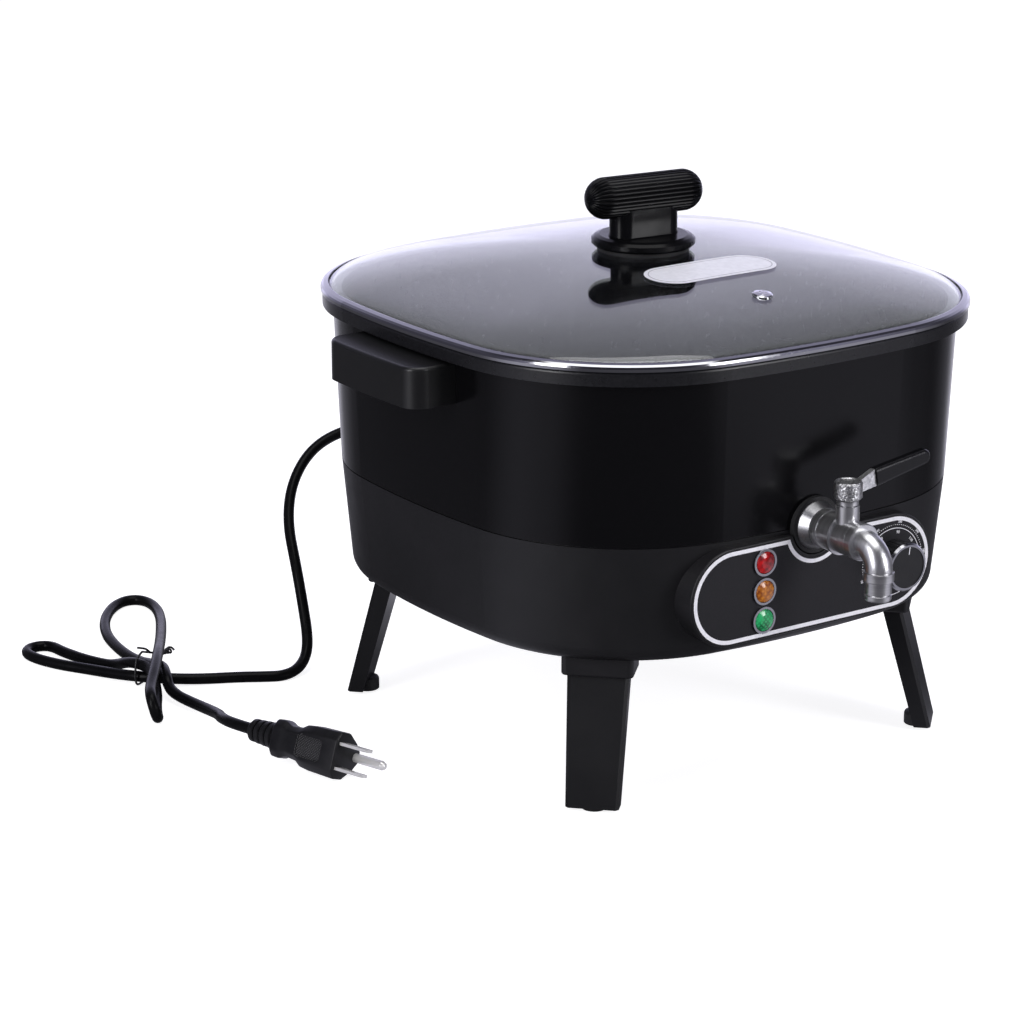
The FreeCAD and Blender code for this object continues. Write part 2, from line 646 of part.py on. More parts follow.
def lamp_bodies():
    """Short lamp holders behind the panel, each with a spring clip and two solder tabs."""
    seat = panel_face - fascia_thick - panel_wall
    bodies = []
    for z in lamp_heights():
        barrel = cylinder(lamp_body_r, lamp_body_length, V(lamp_x, -seat, z), BACK)
        clip = cylinder(lens_r + clip_thick, clip_thick, V(lamp_x, -seat, z), BACK)
        tab_y = -seat + lamp_body_length - 1.6
        tab_z = z - lamp_body_r - 2.4
        tabs = []
        for x in (lamp_x - 2.4, lamp_x + 2.4):
            tabs.append(box(x - tab_width / 2, x + tab_width / 2, tab_y, tab_y + 0.8, tab_z, z - 2))
        bodies.append(fuse([barrel, clip] + tabs))
    return Part.makeCompound(bodies)


def dial_knob():
    back = panel_face + dial_gap
    front = back + dial_length
    profile = [(0, back), (dial_r - 0.9, back), (dial_r - 0.5, front - 1.2), (dial_r - 1.7, front),
               (0, front)]
    knob = turned(profile, V(dial_x, 0, panel_mid), FRONT)
    reach = dial_r + 0.3
    for i in range(dial_grips):
        a = 2 * math.pi * i / dial_grips
        at = V(dial_x + reach * math.cos(a), -(back - 1), panel_mid + reach * math.sin(a))
        knob = knob.cut(cylinder(grip_r, dial_length - 2.0, at, FRONT))
    depth = dial_length - dial_skin + fit
    bore = cylinder(shaft_r + fit / 4, depth + 1, V(dial_x, -(back - 1), panel_mid), FRONT)
    flat_z = panel_mid - shaft_flat - fit / 2
    key = box(dial_x - 5, dial_x + 5, 0.1 - front + dial_skin, 9.0 - front, flat_z - shaft_r, flat_z)
    return knob.cut(bore.cut(key)).removeSplitter()


def dial_ring():
    """Bright trim pressed on the knob's front edge."""
    front = panel_face + dial_gap + dial_length
    profile = [(dial_r - 1.7 + fit, front + 0.05), (dial_r - 0.35, front - 1.1), (dial_r - 0.05, front - 0.7),
               (dial_r - 0.9, front + 0.5), (dial_r - 1.9, front + 0.5), (dial_r - 1.9, front + 0.05)]
    return turned(profile, V(dial_x, 0, panel_mid), FRONT)


# ---- drain tap ----

def tap_steps():
    """Distances in front of the centre where the tap's pieces meet."""
    cone_back = panel_face + fascia_out
    cone_front = cone_back + cone_length
    barrel_front = cone_front + barrel_tap_length
    chamber_back = barrel_front + collar_length
    union_back = chamber_back + chamber_length
    return cone_back, cone_front, barrel_front, chamber_back, union_back, union_back + union_length


def pot_wall_y():
    """Outside of the inner pot's front wall on the tap's axis."""
    return pot_half_at(tap_z)


def tap_gasket():
    """Silicone grommet between the tap's cone, the housing and the inner pot."""
    cone_back = tap_steps()[0]
    face = V(0, -cone_back, tap_z)
    flange = cylinder(gasket_r, 12, face, BACK).cut(body_solid(base_z, flange_z - 10, 0))
    neck = cylinder(gasket_neck_r, cone_back - inside_face_y() + gasket_reach, face, BACK)
    grommet = flange.fuse(neck).cut(pot_solid(pot_floor_z, flange_z, -fit / 4))
    return grommet.cut(cylinder(shank_r + fit, through, face, BACK)).removeSplitter()


def tap_escutcheon():
    back, front = tap_steps()[:2]
    profile = [(shank_r + fit, back), (cone_r, back), (cone_r, back + 0.6), (cone_small_r, front),
               (shank_r + fit, front)]
    return turned(profile, V(0, 0, tap_z), FRONT)


def inside_face_y():
    return pot_wall_y() - pot_wall


def tap_inner_gasket():
    ring = tube(gasket_neck_r, shank_r + fit, 5, V(0, -inside_face_y() - 2, tap_z), BACK)
    cavity = pot_solid(pot_floor_z, flange_z, pot_wall + fit / 4)
    return ring.common(cavity)


def tap_nut():
    start = inside_face_y() - nut_gap
    nut = hexagon(nut_r, nut_thick, V(0, -start, tap_z), BACK)
    return nut.cut(cylinder(shank_r + fit / 4, 20, V(0, -start - 5, tap_z), BACK))


def tap_body():
    cone_back, cone_front, barrel_front, chamber_back, union_back, union_front = tap_steps()
    shank_back = inside_face_y() - shank_reach
    groove = cone_front + 4.6
    profile = [(tap_bore_r, shank_back), (shank_r - shank_chamfer, shank_back),
               (shank_r, shank_back + shank_chamfer), (shank_r, cone_front),
               (barrel_tap_r - 0.5, cone_front), (barrel_tap_r, cone_front + 0.6), (barrel_tap_r, groove),
               (barrel_tap_r - 0.4, groove + 0.3), (barrel_tap_r, groove + 0.6), (barrel_tap_r, barrel_front),
               (collar_r, barrel_front), (collar_r, chamber_back), (chamber_r, chamber_back),
               (chamber_r, union_back), (tap_bore_r, union_back)]
    body = turned(profile, V(0, 0, tap_z), FRONT)
    neck = cylinder(neck_r, neck_rise, V(0, -stem_y, tap_z), UP)
    body = body.fuse(neck).cut(cylinder(tap_bore_r, through, V(0, -shank_back, tap_z), FRONT))
    pocket = cylinder(valve_r + fit / 2, 40, V(0, -stem_y, tap_z - valve_r - valve_foot), UP)
    return body.cut(pocket).removeSplitter()


def valve_plug():
    low = tap_z - valve_r - valve_foot + fit
    top = neck_top_z - 0.5
    plug = cylinder(valve_r, top - low, V(0, -stem_y, low), UP)
    stem = cylinder(valve_stem_r, cap_z() + cap_height * 0.6 - top, V(0, -stem_y, top), UP)
    port = cylinder(valve_port_r, 20, V(-10, -stem_y, tap_z), RIGHT)
    return plug.fuse(stem).cut(port).removeSplitter()


def cap_z():
    return neck_top_z + bonnet_height + cap_gap


def tap_bonnet():
    ring = tube(bonnet_r, valve_stem_r + fit / 2, bonnet_height, V(0, -stem_y, neck_top_z), UP)
    outer = [e for e in ring.Edges if e.BoundBox.ZLength < 1e-3 and e.BoundBox.XLength > bonnet_r * 1.9]
    return ring.makeChamfer(0.5, outer)


def tap_cap():
    profile = [(0, 0), (cap_r - 0.5, 0), (cap_r, 0.6), (cap_r, cap_height - 0.8), (cap_r - 0.6, cap_height),
               (cap_r - 1.4, cap_height), (cap_r - 2.0, cap_height - 0.5), (0, cap_height - 0.5)]
    cap = turned(profile, V(0, -stem_y, cap_z()), UP)
    return cap.cut(cylinder(valve_stem_r + fit / 4, cap_height * 0.6 + fit, V(0, -stem_y, cap_z()), UP))


def lever_frame():
    rise = math.radians(lever_rise)
    along = V(math.cos(rise), 0, math.sin(rise))
    across = V(-math.sin(rise), 0, math.cos(rise))
    start = V(lever_start, -stem_y, cap_z() + cap_height * 0.93)
    return start, along, across


def tang_solid(length):
    """Flat tang from the lever's root along the lever."""
    start, along, across = lever_frame()
    near = start - V(0, tang_thick / 2, 0)
    low, high = near - across * tang_half, near + across * tang_half
    pts = [low, low + along * length, high + along * length, high]
    return Part.Face(Part.makePolygon(pts + pts[:1])).extrude(V(0, tang_thick, 0))


def tap_lever():
    """Metal arm: a fan-shaped bracket on the cap and a tang inside the sleeve."""
    start, along, across = lever_frame()
    half = bracket_thick / 2
    reach = across * (lever_height / 2 - 0.4)
    inner = cap_r - 2.2
    near = V(0, -half, 0)
    points = [V(inner, -stem_y - half, cap_z() + 1.6), start - reach + near, start + reach + near,
              V(inner, -stem_y - half, cap_z() + cap_height - 1.2)]
    bracket = Part.Face(Part.makePolygon(points + points[:1])).extrude(V(0, bracket_thick, 0))
    bracket = bracket.cut(cylinder(cap_r + fit / 4, 40, V(0, -stem_y, cap_z() - 5), UP))
    return bracket.fuse(tang_solid(lever_end - lever_start - tang_short)).removeSplitter()


def lever_sleeve():
    start, along, across = lever_frame()
    length = (lever_end - lever_start) / math.cos(math.radians(lever_rise)) - lever_tip_height / 2
    a, b = across * (lever_height / 2), across * (lever_tip_height / 2)
    tip = start + along * length
    nose = tip + along * (lever_tip_height / 2)
    face = [Part.LineSegment(start - a, tip - b), Part.Arc(tip - b, nose, tip + b),
            Part.LineSegment(tip + b, start + a), Part.LineSegment(start + a, start - a)]
    sleeve = Part.Face(Part.Wire([e.toShape() for e in face])).extrude(V(0, lever_thick, 0))
    sleeve.translate(V(0, -lever_thick / 2, 0))
    long_edges = [e for e in sleeve.Edges if e.BoundBox.YLength < 1e-3 and e.Length > lever_height + 0.5]
    sleeve = sleeve.makeFillet(1.8, long_edges)
    return sleeve.cut(tang_solid(lever_end - lever_start - tang_short + fit))


def tap_spout():
    """Union, bent pipe and the spigot that the outlet is pressed on."""
    union_back, union_front = tap_steps()[4:]
    profile = [(pipe_bore_r, union_back), (union_r - 0.4, union_back), (union_r, union_back + 0.5),
               (union_r, union_front - 0.5), (union_r - 0.5, union_front), (pipe_bore_r, union_front)]
    union = turned(profile, V(0, 0, tap_z), FRONT)
    start = union_front - 0.5
    bend_y = spout_y - elbow_r
    bend_z = tap_z - elbow_r
    pipe_bits, bore_bits = [], []
    for r, bits, low in ((pipe_r, pipe_bits, outlet_top_z), (pipe_bore_r, bore_bits, outlet_step_z - 1)):
        bits.append(cylinder(r, bend_y - start, V(0, -start, tap_z), FRONT))
        section = Part.Face(Part.Wire(Part.makeCircle(r, V(0, -bend_y, tap_z), V(0, 1, 0))))
        bits.append(section.revolve(V(0, -bend_y, bend_z), V(1, 0, 0), 90))
        if bend_z > low:
            bits.append(cylinder(r, bend_z - low, V(0, -spout_y, low), UP))
    spigot_length = outlet_top_z - outlet_step_z - fit
    spigot = cylinder(spigot_r, spigot_length, V(0, -spout_y, outlet_step_z + fit), UP)
    spout = fuse([union] + pipe_bits + [spigot])
    return spout.cut(fuse(bore_bits)).removeSplitter()


def tap_outlet():
    """Threaded nozzle below the elbow."""
    top, step, low = outlet_top_z, outlet_step_z, outlet_z
    profile = [(outlet_bore_r, low), (outlet_r - 0.5, low), (outlet_r, low + 0.6), (outlet_r, low + 2.6),
               (outlet_r - 0.35, low + 3.0), (outlet_r, low + 3.4), (outlet_r, step),
               (outlet_collar_r - 0.3, step), (outlet_collar_r, step + 0.4), (outlet_collar_r, top - 0.4),
               (outlet_collar_r - 0.3, top), (spigot_r + fit / 2, top), (spigot_r + fit / 2, step),
               (outlet_bore_r, step)]
    return turned(profile, V(0, -spout_y, 0), UP)


# ---- handles ----

def handle_blank(grow, low, high):
    """Prism with round outer corners and a slightly bowed front, from inside the housing."""
    x_out, half, corner = handle_out + grow, handle_half + grow, handle_corner + grow
    mid = corner * (1 - math.sqrt(0.5))
    pts = [V(handle_root, -half, low), V(x_out - corner, -half, low), V(x_out - mid, -half + mid, low),
           V(x_out, -half + corner, low), V(x_out + handle_bow, 0, low), V(x_out, half - corner, low),
           V(x_out - mid, half - mid, low), V(x_out - corner, half, low), V(handle_root, half, low)]
    edges = [Part.LineSegment(pts[0], pts[1]), Part.Arc(pts[1], pts[2], pts[3]),
             Part.Arc(pts[3], pts[4], pts[5]), Part.Arc(pts[5], pts[6], pts[7]),
             Part.LineSegment(pts[7], pts[8]), Part.LineSegment(pts[8], pts[0])]
    return Part.Face(Part.Wire([e.toShape() for e in edges])).extrude(V(0, 0, high - low))


def handle():
    """Moulded grip on the +X side, hollow from below for the fingers."""
    outer = handle_blank(0, handle_low, handle_high)
    top_edges = [e for e in outer.Edges if abs(e.BoundBox.ZMin - handle_high) < 1e-3]
    outer = outer.makeFillet(handle_round, [e for e in top_edges if e.BoundBox.XMax > handle_root + 1])
    low, high = handle_low - 6, handle_high + 4
    grip = handle_blank(-handle_skin, handle_low - 1, handle_high - handle_roof)
    grip = grip.cut(body_solid(low, high, -handle_pad))
    outer = outer.cut(grip).cut(body_solid(low, high, -fit / 2))
    for sy in (-1, 1):
        start = V(top_half - 8, sy * handle_screw_y, handle_screw_z)
        outer = outer.cut(cylinder(handle_screw_r + fit / 4, 20, start, RIGHT))
    return outer.removeSplitter()


def handle_screws():
    length = housing_wall + handle_pad
    screws = []
    for sx in (-1, 1):
        for sy in (-1, 1):
            start = V(sx * screw_seat_x(), sy * handle_screw_y, handle_screw_z)
            screws.append(screw(handle_head_r, handle_head_height, handle_screw_r, length, start, RIGHT * sx))
    return Part.makeCompound(screws)


def screw_seat_x():
    """Inside of the housing's wall where a handle screw's head bears."""
    half = half_at(handle_screw_z - handle_head_r)
    return side_x(half, handle_screw_y + handle_head_r) - housing_wall - fit / 2


# ---- legs ----

def leg_face_k(z):
    """The leg's outer face along the diagonal at height z."""
    mouth = diagonal_reach(base_half) - leg_inset
    return mouth + leg_splay * (leg_drop - z) / leg_drop


def leg_screw_k():
    return leg_face_k(leg_drop) - leg_top_thick / 2 - leg_screw_in


def leg_blank(grow=0.0):
    """Leg built on the +X axis: a plate that leans outward and narrows to the foot."""
    sections = []
    for z in (0.0, base_z - socket_top + grow):
        share = z / leg_drop
        thick = leg_foot_thick + share * (leg_top_thick - leg_foot_thick)
        width = leg_foot_width + share * (leg_top_width - leg_foot_width)
        x1 = leg_face_k(z) + grow
        x0 = leg_face_k(z) - thick - grow
        w = width / 2 + grow
        pts = [V(x0, -w, z), V(x1 - leg_edge, -w, z), V(x1, leg_edge - w, z),
               V(x1, w - leg_edge, z), V(x1 - leg_edge, w, z), V(x0, w, z)]
        sections.append(Part.makePolygon(pts + pts[:1]))
    return Part.makeLoft(sections, True, True)


def leg(quarter):
    body = leg_blank().cut(box(0, 200, -40, 40, -1, leg_foot_z))
    body = body.cut(pad_blank(fit))
    hole_z = base_z - socket_top - leg_thread - 0.2
    body = body.cut(cylinder(screw_r + fit / 4, 30, V(leg_screw_k(), 0, hole_z), UP))
    return diagonal(body, quarter)


def pad_blank(grow=0.0):
    """Round rubber foot half let into the leg."""
    k = leg_face_k(0) - leg_foot_thick
    r, top, edge = pad_r + grow, pad_height + grow, pad_round
    mid = edge * (1 - math.sqrt(0.5))
    profile = [(0, 0), (r - 0.4, 0), (r, 0.4), (r, top - edge), (r - mid, top - mid), (r - edge, top),
               (0, top)]
    return turned(profile, V(k, 0, 0), UP)


def foot_pads():
    return Part.makeCompound([diagonal(pad_blank(), quarter) for quarter in range(4)])


def leg_sockets():
    """Four moulded blocks screwed under the base, each with a pocket for a leg."""
    corner = diagonal_reach(base_half)
    half = socket_width / 2
    block = box(corner - socket_inner, corner - socket_outer, -half, half, leg_drop, base_z)
    upright = [e for e in block.Edges if e.BoundBox.ZLength > 5]
    block = block.makeFillet(3.0, upright)
    lower = [e for e in block.Edges if abs(e.BoundBox.ZMax - leg_drop) < 1e-3]
    block = block.makeFillet(1.2, lower)
    block = block.cut(leg_blank(fit))
    block = block.cut(cylinder(screw_r + fit, 20, V(leg_screw_k(), 0, leg_drop - 5), UP))
    return Part.makeCompound([diagonal(block, quarter) for quarter in range(4)])


def leg_screws():
    length = base_wall + socket_top + leg_thread
    head = V(leg_screw_k(), 0, base_z + base_wall)
    one = screw(head_r, head_height, screw_r, length, head, DOWN)
    return Part.makeCompound([diagonal(one, quarter) for quarter in range(4)])


# ---- lid ----

def glass_points():
    """Half width and height of the glass's outside, from its edge in to the crown."""
    outer = rim_half - glass_inset
    low = glass_edge_z + glass_lip
    return [(outer - share * (outer - crown_half), low + up * glass_rise) for share, up in dome_curve]


def glass_ring(half, z):
    """Outline of the glass, which turns from square to nearly round towards the middle."""
    share = half / rim_half
    return (half, corner_of(rim_half) * share, z, side_bulge * share)


def lid_glass():
    points = glass_points()
    top = loft([glass_ring(points[0][0], glass_edge_z)] + [glass_ring(h, z) for h, z in points])
    under = [(h, z - glass_thick) for h, z in points if z - glass_thick > glass_edge_z + 0.2]
    foot = under[0][0] + 2.0
    hollow = loft([glass_ring(foot, glass_edge_z - 1)] + [glass_ring(h, z) for h, z in under])
    glass = top.cut(hollow)
    glass = glass.cut(cylinder(knob_screw_r + 0.6, through, V(0, 0, flange_z), UP))
    base, axis = vent_place()
    return glass.cut(cylinder(vent_r + fit, 20, base - axis * 10, axis))


def lid_rim():
    """Steel channel rolled round the edge of the glass."""
    low = flange_z + run
    outside = loft([square(rim_half, inset, low + z) for inset, z in rim_section])
    edge = rim_wall + fit
    groove = [square(rim_half, edge, low + rim_wall), square(rim_half, edge, low + rim_section[1][1] - 0.1)]
    for inset, z in rim_section[2:]:
        groove.append(square(rim_half, inset + rim_wall * 0.8, low + z - rim_wall))
    groove.append(square(rim_half, rim_section[-1][0] + 0.4, low + rim_section[-1][1] + 1))
    channel = outside.cut(loft(groove))
    return channel.cut(slab(rim_half, rim_foot, low - 1, low + rim_wall + 1)).removeSplitter()


def crown_z():
    return glass_points()[-1][1]


def knob_seal():
    z = crown_z() + fit / 2
    return tube(seal_r, knob_screw_r + fit, seal_thick, V(0, 0, z), UP)


def knob_foot_z():
    return crown_z() + fit / 2 + seal_thick


def knob_base():
    bore = knob_screw_r + fit
    profile = [(bore, 0), (knob_base_r - 1.2, 0), (knob_base_r, 1.2), (knob_base_r, 3.6),
               (knob_base_r - 1.6, 4.9), (knob_base_r - 4.0, knob_base_thick), (bore, knob_base_thick)]
    return turned(profile, V(0, 0, knob_foot_z()), UP)


def lid_knob():
    """Ribbed barrel grip with round ends on an oval stem."""
    low = knob_foot_z() + knob_base_thick
    axis_z = knob_foot_z() + barrel_up
    stem = stadium_up(stem_length, stem_width, V(0, 0, low), axis_z - low)
    straight = barrel_length / 2 - barrel_r
    bend = barrel_r * math.sqrt(0.5)
    ends = [V(barrel_length / 2, 0, axis_z), V(-barrel_length / 2, 0, axis_z)]
    tops = [V(straight, 0, axis_z + barrel_r), V(-straight, 0, axis_z + barrel_r)]
    mids = [V(straight + bend, 0, axis_z + bend), V(-straight - bend, 0, axis_z + bend)]
    edges = [Part.Arc(ends[1], mids[1], tops[1]), Part.LineSegment(tops[1], tops[0]),
             Part.Arc(tops[0], mids[0], ends[0]), Part.LineSegment(ends[0], ends[1])]
    barrel = Part.Face(Part.Wire([e.toShape() for e in edges])).revolve(V(0, 0, axis_z), RIGHT, 360)
    reach = barrel_r + 0.25
    grooves = []
    for i in range(barrel_ribs):
        a = 2 * math.pi * (i + 0.5) / barrel_ribs
        start = V(-barrel_length / 2, reach * math.cos(a), axis_z + reach * math.sin(a))
        grooves.append(cylinder(rib_depth, barrel_length, start, RIGHT))
    barrel = barrel.cut(grooves)
    bore = cylinder(knob_screw_r + fit / 4, knob_thread + 2, V(0, 0, low - 1), UP)
    knob = stem.fuse(barrel).cut(bore)
    knob.rotate(V(0, 0, 0), UP, knob_turn)
    return knob


def knob_screw():
    seat = crown_z() - glass_thick
    length = knob_foot_z() + knob_base_thick + knob_thread - seat
    return screw(knob_washer_r, knob_washer_height, knob_screw_r, length, V(0, 0, seat), UP)


def steam_vent():
    """Pressed steel eyelet with small holes, flared under the glass."""
    base, axis = vent_place()
    under = -glass_thick - 0.05
    neck = vent_r - 0.7
    profile = [(0, 1.7), (2.6, 1.6), (4.6, 1.0), (5.15, 0.45), (5.15, 0.05), (vent_r, 0.05),
               (vent_r, under), (4.1, under), (4.1, under - 0.5), (neck, under - 0.5), (neck, 0.7), (0, 0.7)]
    eyelet = turned(profile, base, axis)
    side = axis.cross(RIGHT)
    for i in range(4):
        a = math.radians(45 + 90 * i)
        at = base + RIGHT * (1.5 * math.cos(a)) + side * (1.5 * math.sin(a)) + axis * 0.2
        eyelet = eyelet.cut(cylinder(vent_hole_r, 5, at, axis))
    return eyelet


def vent_place():
    """Point on top of the glass where the vent sits, and the glass's normal there."""
    reach = max(abs(vent_x), abs(vent_y))
    points = glass_points()
    for (outer, low), (inner, high) in zip(points, points[1:]):
        if inner <= reach <= outer:
            rise = (high - low) / (outer - inner)
            height = low + rise * (outer - reach)
            return V(vent_x, vent_y, height), V(0, -rise, 1).normalize()


# ---- mains cord ----

def round_tube(points, r):
    """Tube along straight runs joined by tangent arcs."""
    edges = []
    last = points[0]
    for i in range(1, len(points) - 1):
        before, here, after = points[i - 1], points[i], points[i + 1]
        a, b = before - here, after - here
        ua, ub = V(a).normalize(), V(b).normalize()
        turn = math.pi - math.acos(max(-1.0, min(1.0, ua.dot(ub))))
        cut = 0.45 * min(a.Length, b.Length)
        radius = cut / math.tan(turn / 2)
        start, end = here + ua * cut, here + ub * cut
        middle = (ua + ub).normalize()
        mid = here + middle * (radius / math.cos(turn / 2) - radius)
        edges.append(Part.LineSegment(last, start).toShape())
        edges.append(Part.Arc(start, mid, end).toShape())
        last = end
    edges.append(Part.LineSegment(last, points[-1]).toShape())
    direction = V(points[1] - points[0]).normalize()
    section = Part.Wire(Part.makeCircle(r, points[0], direction))
    return Part.Wire(edges).makePipeShell([section], True, True)


def power_cord():
    return round_tube([V(*p) for p in CORD_POINTS], cord_r)


def cord_gland():
    """Strain relief: a neck through the base's wall, a flange outside and a tapered boot."""
    wall = half_at(gland_z)
    inner = wall - base_wall - gland_grip
    seat = wall - gland_seat
    outer = wall + gland_flange_thick
    catch_r = gland_neck_r + gland_catch
    catch = inner + gland_catch
    profile = [(0, inner), (catch_r, inner), (catch_r, catch), (gland_neck_r, catch), (gland_neck_r, seat),
               (gland_flange_r, seat), (gland_flange_r, outer - 0.8),
               (gland_flange_r - 0.8, outer), (boot_r + 0.8, outer), (boot_r, outer + 1),
               (cord_r + 0.9, gland_end - 0.6), (cord_r + 0.5, gland_end), (0, gland_end)]
    gland = turned(profile, V(gland_x, 0, gland_z), BACK)
    hole = cylinder(gland_neck_r + fit, through, V(gland_x, base_half - 30, gland_z), BACK)
    shell = body_solid(base_z, seam_z, -fit / 2).cut(hole)
    inside = cylinder(gland_flange_r + 1, 20, V(gland_x, wall - base_wall - 1.5, gland_z), FRONT)
    return gland.cut(shell.cut(inside))


# ---- plug ----

def plug_frame():
    """Start, direction along the plug, and its own sideways and upward directions."""
    start = V(*CORD_POINTS[-1])
    along = (start - V(*CORD_POINTS[-2])).normalize()
    level = V(-along.y, along.x, 0)
    roll = math.radians(plug_roll)
    side = level * math.cos(roll) - UP * math.sin(roll)
    top = UP * math.cos(roll) + level * math.sin(roll)
    return start, along, side, top


def plug_prism():
    """Ruled loft of the plug's moulded outline at shares of its full size."""
    start, along, side, top = plug_frame()
    near = [(u, w) for u, w in plug_outline]
    corners = near + [(u, -w) for u, w in reversed(near)]
    wires = []
    for distance, share in plug_sections:
        centre = start + along * distance
        pts = [centre + side * (u * share) + top * (w * share) for u, w in corners]
        wires.append(Part.makePolygon(pts + pts[:1]))
    return Part.makeLoft(wires, True, True)


def plug_body():
    start, along, side, top = plug_frame()
    end_r = plug_boot_r + 1.0
    core = [(0, 0), (cord_r + 1.2, 0), (end_r, plug_boot_length), (0, plug_boot_length)]
    boot = turned_along(start, along, core)
    for i in range(plug_rings):
        d = 1.6 + i * plug_ring_pitch
        r = plug_boot_r + 0.45 * i
        end = d + plug_ring_width
        boot = boot.fuse(turned_along(start, along, [(0, d), (r, d), (r + 0.2, end), (0, end)]))
    return fuse([boot, plug_prism()])


def turned_along(base, axis, profile):
    side = UP
    pts = [base + side * r + axis * t for r, t in profile]
    return Part.Face(Part.makePolygon(pts + pts[:1])).revolve(base, axis, 360)


def plug_blades():
    start, along, side, top = plug_frame()
    blades = []
    for sign in (-1, 1):
        middle = start + along * plug_face + top * (sign * blade_pitch / 2) + side * blade_shift
        w, t = side * (blade_width / 2), top * (blade_thick / 2)
        taper, tip = blade_length - 1.2, blade_length
        near, far = 1.0, 0.62
        pts = [middle - w * near, middle + along * taper - w * near, middle + along * tip - w * far,
               middle + along * tip + w * far, middle + along * taper + w * near, middle + w * near]
        pts = [p - t for p in pts]
        blades.append(Part.Face(Part.makePolygon(pts + pts[:1])).extrude(t * 2))
    return Part.makeCompound(blades)


def plug_ground_pin():
    start, along, side, top = plug_frame()
    base = start + along * plug_face + side * (blade_shift + earth_offset)
    profile = [(0, 0), (earth_r, 0), (earth_r, earth_length - 2.2), (earth_r * 0.7, earth_length - 0.6),
               (0, earth_length)]
    return turned_along(base, along, profile)


def cord_tie():
    """Wire tie closed round the strands of the cord."""
    turn = math.radians(tie_turn)
    corners = [V(tie_x + u * math.cos(turn), tie_y + u * math.sin(turn), z) for u, z in TIE_LOOP]
    bends = []
    for i, here in enumerate(corners):
        a, b = corners[i - 1] - here, corners[(i + 1) % len(corners)] - here
        cut = min(tie_bend, 0.4 * min(a.Length, b.Length))
        ua, ub = V(a).normalize(), V(b).normalize()
        half = math.acos(ua.dot(ub)) / 2
        radius = cut * math.tan(half)
        mid = here + (ua + ub).normalize() * (radius / math.sin(half) - radius)
        bends.append((here + ua * cut, mid, here + ub * cut))
    path = []
    for i, (start, mid, end) in enumerate(bends):
        path.append(Part.Arc(start, mid, end).toShape())
        path.append(Part.LineSegment(end, bends[(i + 1) % len(bends)][0]).toShape())
    wire = Part.Wire(path)
    heading = wire.Edges[0].tangentAt(wire.Edges[0].FirstParameter)
    section = Part.Wire(Part.makeCircle(tie_r, bends[0][0], heading))
    return wire.makePipeShell([section], True, True)


PARTS = {
    "base_shell": base_shell, "base_cover": base_cover, "cover_screws": cover_screws,
    "pot_screws": pot_screws, "pot_housing": pot_housing, "inner_pot": inner_pot,
    "heater_plate": heater_plate, "heating_element": heating_element, "heater_strap": heater_strap,
    "thermostat_body": thermostat_body, "thermostat_shaft": thermostat_shaft,
    "thermostat_bulb": thermostat_bulb, "thermal_fuse": thermal_fuse, "terminal_block": terminal_block,
    "panel_housing": panel_housing, "panel_fascia": panel_fascia, "lamp_bodies": lamp_bodies,
    "lamp_bezels": lamp_bezels, "dial_knob": dial_knob, "dial_ring": dial_ring,
    "tap_gasket": tap_gasket, "tap_escutcheon": tap_escutcheon, "tap_inner_gasket": tap_inner_gasket,
    "tap_nut": tap_nut, "tap_body": tap_body, "tap_spout": tap_spout, "tap_outlet": tap_outlet,
    "valve_plug": valve_plug, "tap_bonnet": tap_bonnet, "tap_cap": tap_cap, "tap_lever": tap_lever,
    "lever_sleeve": lever_sleeve, "handle_screws": handle_screws, "foot_pads": foot_pads,
    "leg_sockets": leg_sockets, "leg_screws": leg_screws, "lid_glass": lid_glass, "lid_rim": lid_rim,
    "knob_seal": knob_seal,
    "knob_base": knob_base, "lid_knob": lid_knob, "knob_screw": knob_screw, "steam_vent": steam_vent,
    "power_cord": power_cord, "cord_gland": cord_gland, "plug_body": plug_body,
    "plug_blades": plug_blades, "plug_ground_pin": plug_ground_pin, "cord_tie": cord_tie,
}


def write(name, shape):
    volume = shape.Volume / 1000
    print("%-20s solids %d valid %s volume %.1f cm3" % (name, len(shape.Solids), shape.isValid(), volume))
    shape.exportStep("parts/%s.step" % name)


os.makedirs("parts", exist_ok=True)
for name, make in PARTS.items():
    write(name, make())
for name, z in zip(("red_lens", "amber_lens", "green_lens"), lamp_heights()):
    write(name, lens(z))
for sign, name in ((1, "right_handle"), (-1, "left_handle")):
    grip = handle()
    if sign < 0:
        grip.rotate(V(0, 0, 0), UP, 180)
    write(name, grip)
for quarter, corner in enumerate(("back_right", "back_left", "front_left", "front_right")):
    write(corner + "_leg", leg(quarter))
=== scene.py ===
import bpy
import bmesh
import math
from mathutils import Matrix, Vector


